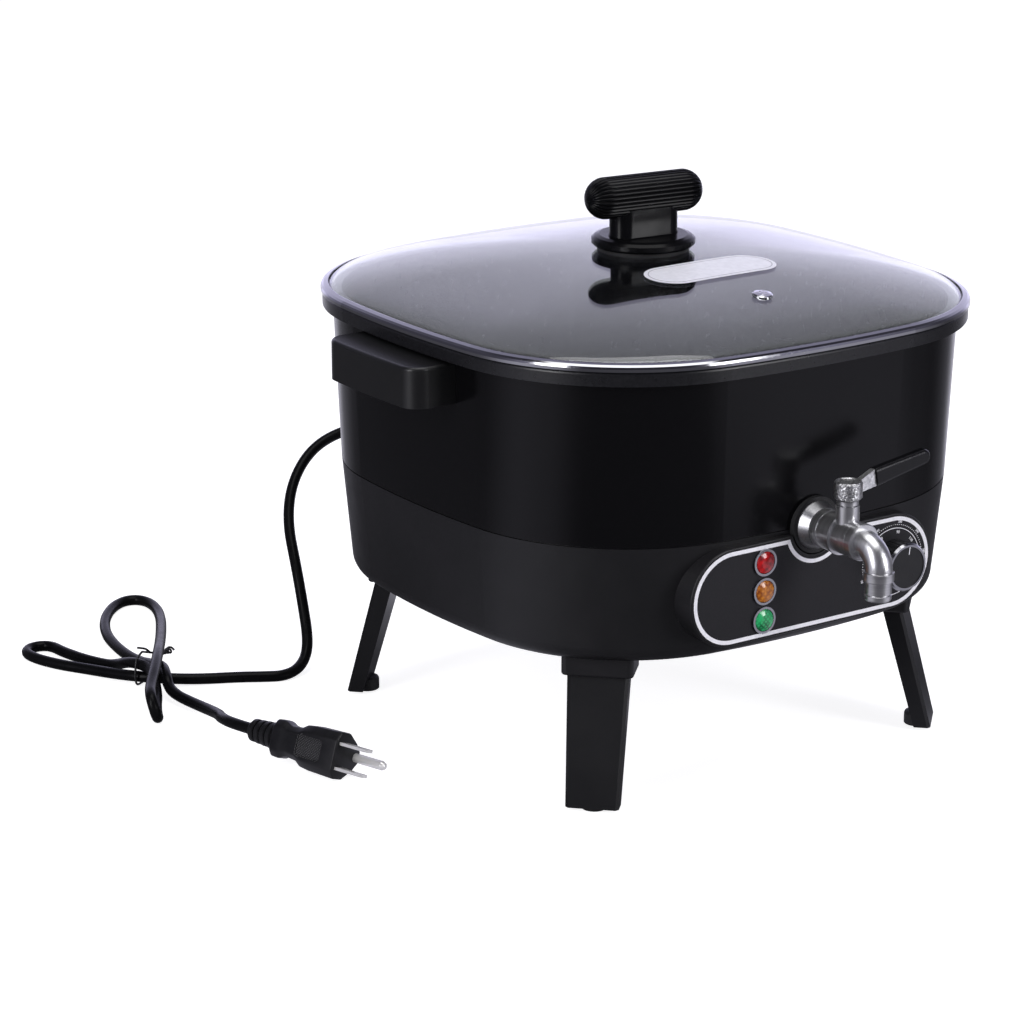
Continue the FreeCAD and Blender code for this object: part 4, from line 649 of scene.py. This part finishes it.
pot_coating = new_finish("pot_coating", (0.008, 0.008, 0.009), 0.28, specular=0.35)
vary_colour(pot_coating, 0.0012, (0.006, 0.006, 0.007), (0.012, 0.012, 0.014))
vary_gloss(pot_coating, 0.004, 0.27, 0.31)
raise_grain(pot_coating, 0.001, 0.00002, 0.4)
give_finish(pot_coating, "inner_pot")

# ---- heater and controls in the base ----
# A cast aluminium plate with a steel-sheathed element strapped under it, a capillary thermostat with
# its copper bulb, a thermal fuse and a ceramic terminal block.
cast_aluminium = new_finish("cast_aluminium", (0.58, 0.58, 0.59), 0.48, metallic=1.0)
raise_grain(cast_aluminium, 0.001, 0.0001, 0.6)
give_finish(cast_aluminium, "heater_plate")
element_steel = new_finish("element_steel", (0.30, 0.30, 0.31), 0.50, metallic=1.0)
vary_colour(element_steel, 0.01, (0.20, 0.19, 0.18), (0.36, 0.35, 0.34))
give_finish(element_steel, "heating_element", "heater_strap")
ceramic = new_finish("cream_ceramic", (0.72, 0.68, 0.58), 0.50)
vary_colour(ceramic, 0.004, (0.68, 0.64, 0.54), (0.76, 0.72, 0.62))
raise_grain(ceramic, 0.0008, 0.00004, 0.5)
give_finish(ceramic, "thermostat_body", "terminal_block", "lamp_bodies")
copper = new_finish("plain_copper", (0.70, 0.42, 0.26), 0.32, metallic=1.0)
vary_gloss(copper, 0.004, 0.26, 0.42)
give_finish(copper, "thermostat_bulb")
shaft_brass = new_finish("shaft_brass", (0.70, 0.54, 0.28), 0.30, metallic=1.0)
vary_gloss(shaft_brass, speckle(shaft_brass, 0.001, (1.0, 8.0, 1.0)), 0.24, 0.38)
give_finish(shaft_brass, "thermostat_shaft")
fuse_sleeve = new_finish("fuse_sleeve", (0.80, 0.79, 0.76), 0.55)
raise_grain(fuse_sleeve, 0.0008, 0.0001, 0.6)
give_finish(fuse_sleeve, "thermal_fuse")

# ---- control panel ----
# A black moulded boss on the front carries a charcoal fascia plate. A white line is printed round
# its edge and round the bay for the tap.
fascia_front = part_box("panel_fascia")[0][1]
fascia_left, fascia_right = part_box("panel_fascia")[0][0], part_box("panel_fascia")[1][0]
fascia_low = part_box("panel_fascia")[0][2]
line_inset, line_wide, ink_thick = 0.0002, 0.0020, 0.00012
line_left, line_right = fascia_left + line_inset, fascia_right - line_inset
line_half = 0.0234
fascia_middle = fascia_low + line_inset + line_half
bay_r, bay_z = 0.0172, 0.1375
print_deep = 0.001  # the border's depth while it is cut

panel_abs = new_finish("panel_abs", (0.010, 0.010, 0.011), 0.38, specular=0.30)
vary_colour(panel_abs, 0.03, (0.009, 0.009, 0.010), (0.012, 0.0115, 0.013))
raise_grain(panel_abs, 0.0007, 0.00003, 0.5)
give_finish(panel_abs, "panel_housing")
fascia_charcoal = new_finish("fascia_charcoal", (0.012, 0.0115, 0.014), 0.45, specular=0.22)
vary_colour(fascia_charcoal, 0.0006, (0.010, 0.010, 0.012), (0.014, 0.013, 0.016))
raise_grain(fascia_charcoal, 0.0005, 0.00002, 0.5)
give_finish(fascia_charcoal, "panel_fascia")
print_white = new_finish("print_white", (0.86, 0.85, 0.89), 0.55)
vary_colour(print_white, 0.0015, (0.80, 0.79, 0.83), (0.90, 0.89, 0.93))
raise_grain(print_white, 0.0004, 0.00002, 0.4)


def add_disc(name, points, radius, x, z, y):
    """A flat round face that looks forward from y."""
    deselect_all()
    bpy.ops.mesh.primitive_circle_add(vertices=points, radius=radius, fill_type="NGON",
                                      rotation=(math.pi / 2, 0, 0), location=(x, y, z))
    disc = start_piece(name)
    settle(disc)
    return disc


def print_on(piece, thickness):
    """Turns a flat face into a layer of ink that stands forward of it."""
    choose_faces(piece)
    stretch_to((0, -thickness, 0))
    face_outward(piece)


border = add_disc("fascia_border", 128, line_half, line_left + line_half, fascia_middle, fascia_front)
choose(border, "VERT", lambda vert: vert.co.x > line_left + line_half + 1e-5)
bpy.ops.transform.translate(value=(line_right - line_left - 2 * line_half, 0, 0))
choose_faces(border)
stretch_to((0, -print_deep, 0))
face_outward(border)
bay = add_disc("bay_cutter", 96, bay_r, 0.0, bay_z, fascia_front + 5 * print_deep)
print_on(bay, 10 * print_deep)
cut_away(border, bay)
choose(border, "FACE", lambda face: face.normal.y > -0.9)
bpy.ops.mesh.delete(type="FACE")
choose_faces(border)
bpy.ops.mesh.dissolve_limited(angle_limit=0.001)
choose_faces(border)
bpy.ops.mesh.inset(thickness=line_wide, depth=0.0)
bpy.ops.mesh.delete(type="FACE")
choose_faces(border)
bpy.ops.transform.translate(value=(0, print_deep, 0))
print_on(border, ink_thick)
carry(border, print_white, "pot_body")

# ---- pilot lamps ----
# Three domed plastic lenses, red, amber and green, each snapped into a thin silvered bezel. Their inner faces
# are cut in small diamonds that scatter the light, and that scattered light is painted into the lenses'
# colour as lighter diamonds and a soft cloud.
bezel_silver = new_finish("bezel_silver", (0.42, 0.42, 0.44), 0.26, metallic=1.0)
vary_gloss(bezel_silver, 0.002, 0.16, 0.30)
give_finish(bezel_silver, "lamp_bezels")


def lens_finish(name, deep, bright, pitch, cut):
    """Coloured clear plastic with diamond cuts, whose colour has a painted glow: lighter on the diamonds and
    in a soft cloud, for light that passes and scatters.
    """
    finish = new_finish(name, bright, 0.16)
    diamonds = lower_of(finish, ridges(finish, (1, 0, 1), pitch), ridges(finish, (1, 0, -1), pitch))
    painted_glow_cloud = speckle(finish, 0.004)
    nodes, links = finish.node_tree.nodes, finish.node_tree.links
    both = nodes.new("ShaderNodeMath")
    both.operation = "MULTIPLY_ADD"
    both.inputs[1].default_value = cut
    links.new(diamonds, both.inputs[0])
    links.new(painted_glow_cloud, both.inputs[2])
    # painted glow: the colour is lighter on the diamonds and in the cloud
    vary_colour(finish, both.outputs["Value"], deep, bright)
    shader = nodes["Principled BSDF"]
    shader.inputs["Coat Weight"].default_value = 0.6
    shader.inputs["Coat Roughness"].default_value = 0.06
    return finish


give_finish(lens_finish("lens_red", (0.09, 0.001, 0.002), (0.50, 0.004, 0.006), 0.0030, 0.10), "red_lens")
give_finish(lens_finish("lens_amber", (0.20, 0.04, 0.002), (0.62, 0.21, 0.010), 0.0024, 0.20), "amber_lens")
give_finish(lens_finish("lens_green", (0.003, 0.08, 0.028), (0.018, 0.42, 0.13), 0.0018, 0.30), "green_lens")

# ---- thermostat dial ----
# A round black phenolic knob with a bright ring pressed on its rim and a white pointer line. The
# scale is printed on the fascia: a thin circle, dots and plain numbers.
dial_x, dial_z = 0.0495, 0.10945
scale_r, scale_wide = 0.0176, 0.00035
dots_r, dot_r, dots_from, dots_to, dots_step = 0.0192, 0.00024, -104, 92, 4
stroke_swell = 0.012  # thickens the numbers' strokes by this share of their height
dial_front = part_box("dial_knob")[0][1]
dial_phenolic = new_finish("dial_phenolic", (0.010, 0.010, 0.011), 0.30, specular=0.35)
vary_gloss(dial_phenolic, 0.006, 0.26, 0.36)
raise_grain(dial_phenolic, 0.0006, 0.00001, 0.4)
give_finish(dial_phenolic, "dial_knob")
ring_bright = new_finish("ring_bright", (0.36, 0.36, 0.38), 0.20, metallic=1.0)
vary_gloss(ring_bright, 0.002, 0.12, 0.22)
give_finish(ring_bright, "dial_ring")

scale_line = add_disc("dial_scale", 128, scale_r, dial_x, dial_z, fascia_front)
choose_faces(scale_line)
bpy.ops.mesh.inset(thickness=scale_wide, depth=0.0)
bpy.ops.mesh.delete(type="FACE")
print_on(scale_line, ink_thick)
carry(scale_line, print_white, "pot_body")


def turned_on_dial(turn):
    """A turn about the dial's axis."""
    return (Matrix.Translation((dial_x, 0, dial_z)) @ Matrix.Rotation(turn, 4, "Y")
            @ Matrix.Translation((-dial_x, 0, -dial_z)))


dots = add_disc("dial_dots", 10, dot_r, dial_x, dial_z + dots_r, fascia_front)
print_on(dots, ink_thick)
dot_copies = []
for angle in range(dots_from, dots_to + 1, dots_step):
    dot = dots.copy()
    dot.data = dots.data.copy()
    bpy.context.collection.objects.link(dot)
    dot.data.transform(turned_on_dial(math.radians(angle)))
    dot_copies.append(dot)
join_into(dots, *dot_copies)
carry(dots, print_white, "pot_body")


def print_number(name, words, height, angle, radius):
    """A printed number that stands upright on its spoke of the dial, made a mesh before it is placed."""
    deselect_all()
    bpy.ops.object.text_add()
    number = bpy.context.object
    number.name = name
    number.data.body = words
    number.data.size = height
    number.data.align_x = "CENTER"
    number.data.align_y = "CENTER"
    number.data.resolution_u = 3
    number.data.extrude = ink_thick / 2
    number.data.offset = height * stroke_swell
    bpy.ops.object.convert(target="MESH")
    number = bpy.context.object
    number.name = name
    place = Matrix.Translation((dial_x, fascia_front - ink_thick / 2, dial_z))
    place @= Matrix.Rotation(math.radians(angle), 4, "Y") @ Matrix.Translation((0, 0, radius))
    set_place(number, place @ Matrix.Rotation(math.pi / 2, 4, "X"))
    face_outward(number)
    return number


# degrees round the dial from its top, and the number there
outer_marks = ((-110, "80"), (-72, "120"), (-30, "160"), (12, "200"), (50, "240"), (84, "280"))
inner_marks = ((-72, "50"), (-30, "70"), (12, "90"), (50, "110"))
outer_tall, outer_r, inner_tall, inner_r = 0.0017, 0.0206, 0.0021, 0.0153
numbers = []
for marks, tall, radius in ((outer_marks, outer_tall, outer_r), (inner_marks, inner_tall, inner_r)):
    for angle, words in marks:
        name = "number_" + words if numbers else "dial_numbers"
        numbers.append(print_number(name, words, tall, angle, radius))
join_into(numbers[0], *numbers[1:])
carry(numbers[0], print_white, "pot_body")

pointer_from, pointer_to, pointer_wide, pointer_edge = 0.0068, 0.0112, 0.0005, 0.00005
pointer_turn = math.radians(8)
deselect_all()
bpy.ops.mesh.primitive_plane_add(size=pointer_wide, rotation=(math.pi / 2, 0, 0),
                                 location=(dial_x, dial_front, dial_z + pointer_from))
pointer = start_piece("dial_pointer")
settle(pointer)
choose(pointer, "VERT", lambda vert: vert.co.z > dial_z + pointer_from)
bpy.ops.transform.translate(value=(0, 0, pointer_to - pointer_from))
bpy.ops.object.mode_set(mode="OBJECT")
pointer.data.transform(turned_on_dial(pointer_turn))
print_on(pointer, ink_thick)
apply_modifier(pointer, "BEVEL", width=pointer_edge, segments=2)
carry(pointer, print_white, "dial")

# ---- drain tap ----
# Turned stainless steel, polished with faint tool lines. The cap that holds the lever is knurled, the
# lever is pressed sheet, and a black vinyl sleeve covers its grip.
tool_line = 0.0009
along_tap, down_spout = (0.03, 1.0, 0.03), (0.03, 0.03, 1.0)  # the axis that the tool lines lie across
tap_steel = new_finish("tap_steel", (0.60, 0.60, 0.61), 0.30, metallic=0.97)
vary_colour(tap_steel, speckle(tap_steel, tool_line, along_tap), (0.55, 0.55, 0.56), (0.65, 0.65, 0.66))
vary_gloss(tap_steel, speckle(tap_steel, tool_line, along_tap), 0.28, 0.34)
give_finish(tap_steel, "tap_body", "tap_nut", "tap_spout")
flare_steel = new_finish("flare_steel", (0.34, 0.34, 0.35), 0.32, metallic=0.97)
vary_colour(flare_steel, 0.0007, (0.28, 0.28, 0.29), (0.42, 0.42, 0.43))
raise_grain(flare_steel, 0.0006, 0.00003, 0.4)
give_finish(flare_steel, "tap_escutcheon")
outlet_steel = new_finish("outlet_steel", (0.58, 0.58, 0.59), 0.30, metallic=0.97)
vary_colour(outlet_steel, speckle(outlet_steel, tool_line, down_spout),
            (0.52, 0.52, 0.53), (0.63, 0.63, 0.64))
vary_gloss(outlet_steel, speckle(outlet_steel, tool_line, down_spout), 0.28, 0.34)
give_finish(outlet_steel, "tap_outlet", "tap_bonnet", "valve_plug")
knurled_steel = new_finish("knurled_steel", (0.50, 0.50, 0.51), 0.30, metallic=0.95)
# The colour follows the same noise as the bump: painted shade in the knurl's hollows and painted glints on
# its peaks.
vary_colour(knurled_steel, 0.0009, (0.16, 0.16, 0.16), (0.80, 0.80, 0.81))
raise_grain(knurled_steel, 0.0009, 0.0005, 0.9)
give_finish(knurled_steel, "tap_cap")
pressed_steel = new_finish("pressed_steel", (0.60, 0.60, 0.61), 0.36, metallic=1.0)
vary_colour(pressed_steel, 0.0012, (0.42, 0.42, 0.43), (0.78, 0.78, 0.79))
raise_grain(pressed_steel, 0.0010, 0.0002, 0.7)
give_finish(pressed_steel, "tap_lever")
sleeve_vinyl = new_finish("sleeve_vinyl", (0.003, 0.003, 0.0035), 0.18, specular=0.35)
vary_gloss(sleeve_vinyl, 0.003, 0.14, 0.22)
raise_grain(sleeve_vinyl, 0.0008, 0.00001, 0.4)
give_finish(sleeve_vinyl, "lever_sleeve")

# ---- side handles ----
# Two heat-proof black mouldings, hollow from below for the fingers, screwed on from inside the
# housing before the pot goes in.
handle_phenolic = new_finish("handle_phenolic", (0.008, 0.008, 0.0085), 0.34, specular=0.35)
vary_gloss(handle_phenolic, 0.02, 0.30, 0.38)
raise_grain(handle_phenolic, 0.0008, 0.00002, 0.4)
give_finish(handle_phenolic, "left_handle", "right_handle")

# ---- glass lid ----
# A domed plate of clear tempered glass in a polished steel rim. A steel eyelet lets the steam out,
# and a plain pale sticker, left blank, lies behind it.
lid_clear = new_finish("lid_clear", (0.90, 0.93, 0.99), 0.02)
lid_shader = lid_clear.node_tree.nodes["Principled BSDF"]
lid_shader.inputs["Transmission Weight"].default_value = 1.0
lid_shader.inputs["IOR"].default_value = 1.5
vary_gloss(lid_clear, 0.03, 0.01, 0.04)

glass_half, glass_edge, glass_crown = 0.1488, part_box("lid_glass")[0][2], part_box("lid_glass")[1][2]
glass_corner, glass_bulge, glass_thick = 0.0995, 0.00218, 0.0038
glass_lip, crown_half, screw_hole_r = 0.00075, 0.0270, 0.0031
# shares of the way in from the edge to the crown, and of the way up to it
dome_curve = ((0.0099, 0.0385), (0.0230, 0.0721), (0.0361, 0.149), (0.0558, 0.2115), (0.0887, 0.2837),
              (0.1379, 0.3654), (0.2036, 0.4615), (0.3021, 0.5721), (0.4171, 0.6827), (0.5484, 0.7885),
              (0.6962, 0.8846), (0.8440, 0.9519), (1.0, 1.0))
crown_rings = (0.016, 0.008, screw_hole_r)
vent_hole_r, vent_hole_long = 0.0034, 0.03


def glass_reach(angle):
    """Distance from the middle to the edge of the glass: four long side arcs and four corner arcs."""
    corner_at = glass_half - glass_corner - glass_bulge
    side_r = (glass_corner ** 2 - corner_at ** 2 - (corner_at - glass_half) ** 2)
    side_r /= 2 * (corner_at - glass_half + glass_corner)
    side_at = glass_half - side_r
    turn = math.atan2(corner_at, corner_at - side_at)
    change = math.atan2(side_r * math.sin(turn), side_at + side_r * math.cos(turn))
    angle = abs((angle + math.pi / 4) % (math.pi / 2) - math.pi / 4)
    if angle < change:
        return side_at * math.cos(angle) + math.sqrt(side_r ** 2 - (side_at * math.sin(angle)) ** 2)
    across = corner_at * (math.sin(angle) - math.cos(angle))
    return corner_at * (math.cos(angle) + math.sin(angle)) + math.sqrt(glass_corner ** 2 - across ** 2)


deselect_all()
bpy.ops.mesh.primitive_circle_add(vertices=160, radius=1.0, fill_type="NGON", location=(0, 0, glass_edge))
dome = start_piece("glass_dome")
settle(dome)
for vert in dome.data.vertices:
    reach = glass_reach(math.atan2(vert.co.y, vert.co.x))
    vert.co.x *= reach
    vert.co.y *= reach
choose_faces(dome)
stretch_to((0, 0, glass_lip))
dome_low, dome_at, dome_half = glass_edge + glass_lip, 0.0, glass_half
for inward, upward in dome_curve:
    next_half = glass_half - inward * (glass_half - crown_half)
    stretch_to((0, 0, (upward - dome_at) * (glass_crown - dome_low)),
               (next_half / dome_half, next_half / dome_half, 1))
    dome_at, dome_half = upward, next_half
for next_half in crown_rings:
    stretch_to((0, 0, 0), (next_half / dome_half, next_half / dome_half, 1))
    dome_half = next_half
bpy.ops.mesh.delete(type="FACE")
choose(dome, "FACE", lambda face: face.normal.z < -0.9)
bpy.ops.mesh.delete(type="FACE")
face_outward(dome)
choose_faces(dome)
if sum(face.normal.z for face in bmesh.from_edit_mesh(dome.data).faces) < 0:
    bpy.ops.mesh.flip_normals()
bpy.ops.object.mode_set(mode="OBJECT")
apply_modifier(dome, "SUBSURF", levels=1, render_levels=1)
apply_modifier(dome, "SOLIDIFY", thickness=glass_thick, offset=-1.0)
vent_low, vent_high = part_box("steam_vent")
deselect_all()
bpy.ops.mesh.primitive_cylinder_add(vertices=48, radius=vent_hole_r, depth=vent_hole_long,
                                    location=[(low + high) / 2 for low, high in zip(vent_low, vent_high)])
vent_hole = start_piece("vent_hole")
settle(vent_hole)
cut_away(dome, vent_hole)
smooth_below(dome, 30)
carry(dome, lid_clear, "lid")
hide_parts("lid_glass")
rim_steel = new_finish("rim_steel", (0.38, 0.38, 0.40), 0.12, metallic=1.0)
vary_gloss(rim_steel, 0.004, 0.08, 0.15)
raise_grain(rim_steel, 0.002, 0.00001, 0.3)
give_finish(rim_steel, "lid_rim")
vent_steel = new_finish("vent_steel", (0.82, 0.82, 0.84), 0.16, metallic=1.0)
vary_gloss(vent_steel, 0.001, 0.12, 0.24)
give_finish(vent_steel, "steam_vent")

label_x, label_y = 0.0043, -0.0509
label_long, label_half, label_turn = 0.0772, 0.0141, math.radians(0.8)
label_gap, label_thick, over_glass = 0.00002, 0.00010, 0.26
label_cuts, label_step = 19, 0.0021
outline_across, outline_round, outline_wide, outline_thick = 0.0040, 0.0020, 0.0004, 0.00005


def add_stadium(name, long, half, x, y, turn, z):
    """A flat face with round ends, that looks up from z."""
    deselect_all()
    bpy.ops.mesh.primitive_circle_add(vertices=96, radius=half, fill_type="NGON")
    flat = start_piece(name)
    choose(flat, "VERT", lambda vert: vert.co.x > 1e-6)
    bpy.ops.transform.translate(value=(long / 2 - half, 0, 0))
    choose(flat, "VERT", lambda vert: vert.co.x < 1e-6)
    bpy.ops.transform.translate(value=(half - long / 2, 0, 0))
    set_place(flat, Matrix.Translation((x, y, z)) @ Matrix.Rotation(turn, 4, "Z"))
    return flat


def lay_on_glass(piece, lift, thickness):
    """Cuts the flat piece finely, drops it on the glass and gives it its thickness."""
    for axis in ((1, 0, 0), (0, 1, 0)):
        for step in range(-label_cuts, label_cuts + 1):
            choose_faces(piece)
            spot = (label_x + step * label_step, label_y + step * label_step, 0)
            bpy.ops.mesh.bisect(plane_co=spot, plane_no=axis)
    bpy.ops.object.mode_set(mode="OBJECT")
    apply_modifier(piece, "SHRINKWRAP", target=dome, wrap_method="PROJECT",
                   use_project_z=True, use_negative_direction=True, use_positive_direction=False, offset=lift)
    apply_modifier(piece, "SOLIDIFY", thickness=thickness, offset=1.0)
    smooth_below(piece, 40)


label = add_stadium("lid_sticker", label_long, label_half, label_x, label_y, label_turn, over_glass)
lay_on_glass(label, label_gap, label_thick)
sticker_paper = new_finish("sticker_paper", (0.74, 0.74, 0.79), 0.38)
vary_colour(sticker_paper, 0.003, (0.70, 0.70, 0.75), (0.78, 0.78, 0.83))
raise_grain(sticker_paper, 0.0008, 0.00001, 0.4)
carry(label, sticker_paper, "lid")
label_line = add_stadium("sticker_line", label_long - outline_across, label_half - outline_round,
                         label_x, label_y, label_turn, over_glass)
choose_faces(label_line)
bpy.ops.mesh.inset(thickness=outline_wide, depth=0.0)
bpy.ops.mesh.delete(type="FACE")
lay_on_glass(label_line, label_gap + label_thick, outline_thick)
sticker_ink = new_finish("sticker_ink", (0.30, 0.30, 0.34), 0.5)
vary_colour(sticker_ink, 0.001, (0.26, 0.26, 0.30), (0.36, 0.36, 0.40))
carry(label_line, sticker_ink, "lid")

# ---- lid knob ----
# A black phenolic grip: a fluted barrel, whose flutes run out over its round ends, moulded on an oval
# stem. It stands on a turned base, and one screw from below holds both to the glass.
knob_turn = math.radians(-6.0)
barrel_r, barrel_half = 0.0108, 0.0335
barrel_straight, barrel_z = barrel_half - barrel_r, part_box("lid_knob")[1][2] - barrel_r
flutes, flute_points, flute_depth, flute_sharp = 28, 8, 0.00085, 0.8
end_steps, end_step, end_last = 12, 7.5, 88.0  # the round ends, in degrees from their rim
stem_long, stem_half, stem_low = 0.0390, 0.0085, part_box("lid_knob")[0][2]
stem_foot, stem_flare, stem_top = 0.0012, 0.0080, 0.0092
foot_scale, flare_scale = (0.975, 0.94, 1), (1.03, 1.08, 1)

deselect_all()
bpy.ops.mesh.primitive_circle_add(vertices=flutes * flute_points, radius=barrel_r, fill_type="NGON",
                                  rotation=(0, math.pi / 2, 0), location=(-barrel_straight, 0, 0))
grip = start_piece("knob_grip")
settle(grip)
for vert in grip.data.vertices:
    around = math.atan2(vert.co.z, vert.co.y)
    deep = 1 - abs(math.sin(around * flutes / 2)) ** flute_sharp
    scale = 1 - flute_depth / barrel_r * deep
    vert.co.y *= scale
    vert.co.z *= scale
choose_faces(grip)
stretch_to((2 * barrel_straight, 0, 0))
for end in (1, -1):
    choose(grip, "FACE", lambda face: abs(face.normal.x) > 0.9 and face.calc_center_median().x * end > 0)
    reach, share = 0.0, 1.0
    for step in range(1, end_steps + 1):
        angle = math.radians(min(end_step * step, end_last))
        next_reach, next_share = barrel_r * math.sin(angle), math.cos(angle)
        stretch_to((end * (next_reach - reach), 0, 0), (1, next_share / share, next_share / share),
                   (end * (barrel_straight + next_reach), 0, 0))
        reach, share = next_reach, next_share
face_outward(grip)
stem = add_stadium("knob_stem", stem_long, stem_half, 0.0, 0.0, 0.0, stem_low - barrel_z)
choose_faces(stem)
stretch_to((0, 0, stem_foot), foot_scale)
stretch_to((0, 0, barrel_z - stem_low - stem_top))
stretch_to((0, 0, stem_flare), flare_scale)
face_outward(stem)
join_into(grip, stem)
smooth_below(grip, 38)
set_place(grip, Matrix.Translation((0, 0, barrel_z)) @ Matrix.Rotation(knob_turn, 4, "Z"))
knob_phenolic = new_finish("knob_phenolic", (0.0030, 0.0030, 0.0035), 0.20, specular=0.09)
vary_gloss(knob_phenolic, 0.01, 0.17, 0.24)
raise_grain(knob_phenolic, 0.0008, 0.00001, 0.4)
carry(grip, knob_phenolic, "lid")
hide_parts("lid_knob")
give_finish(knob_phenolic, "knob_base")
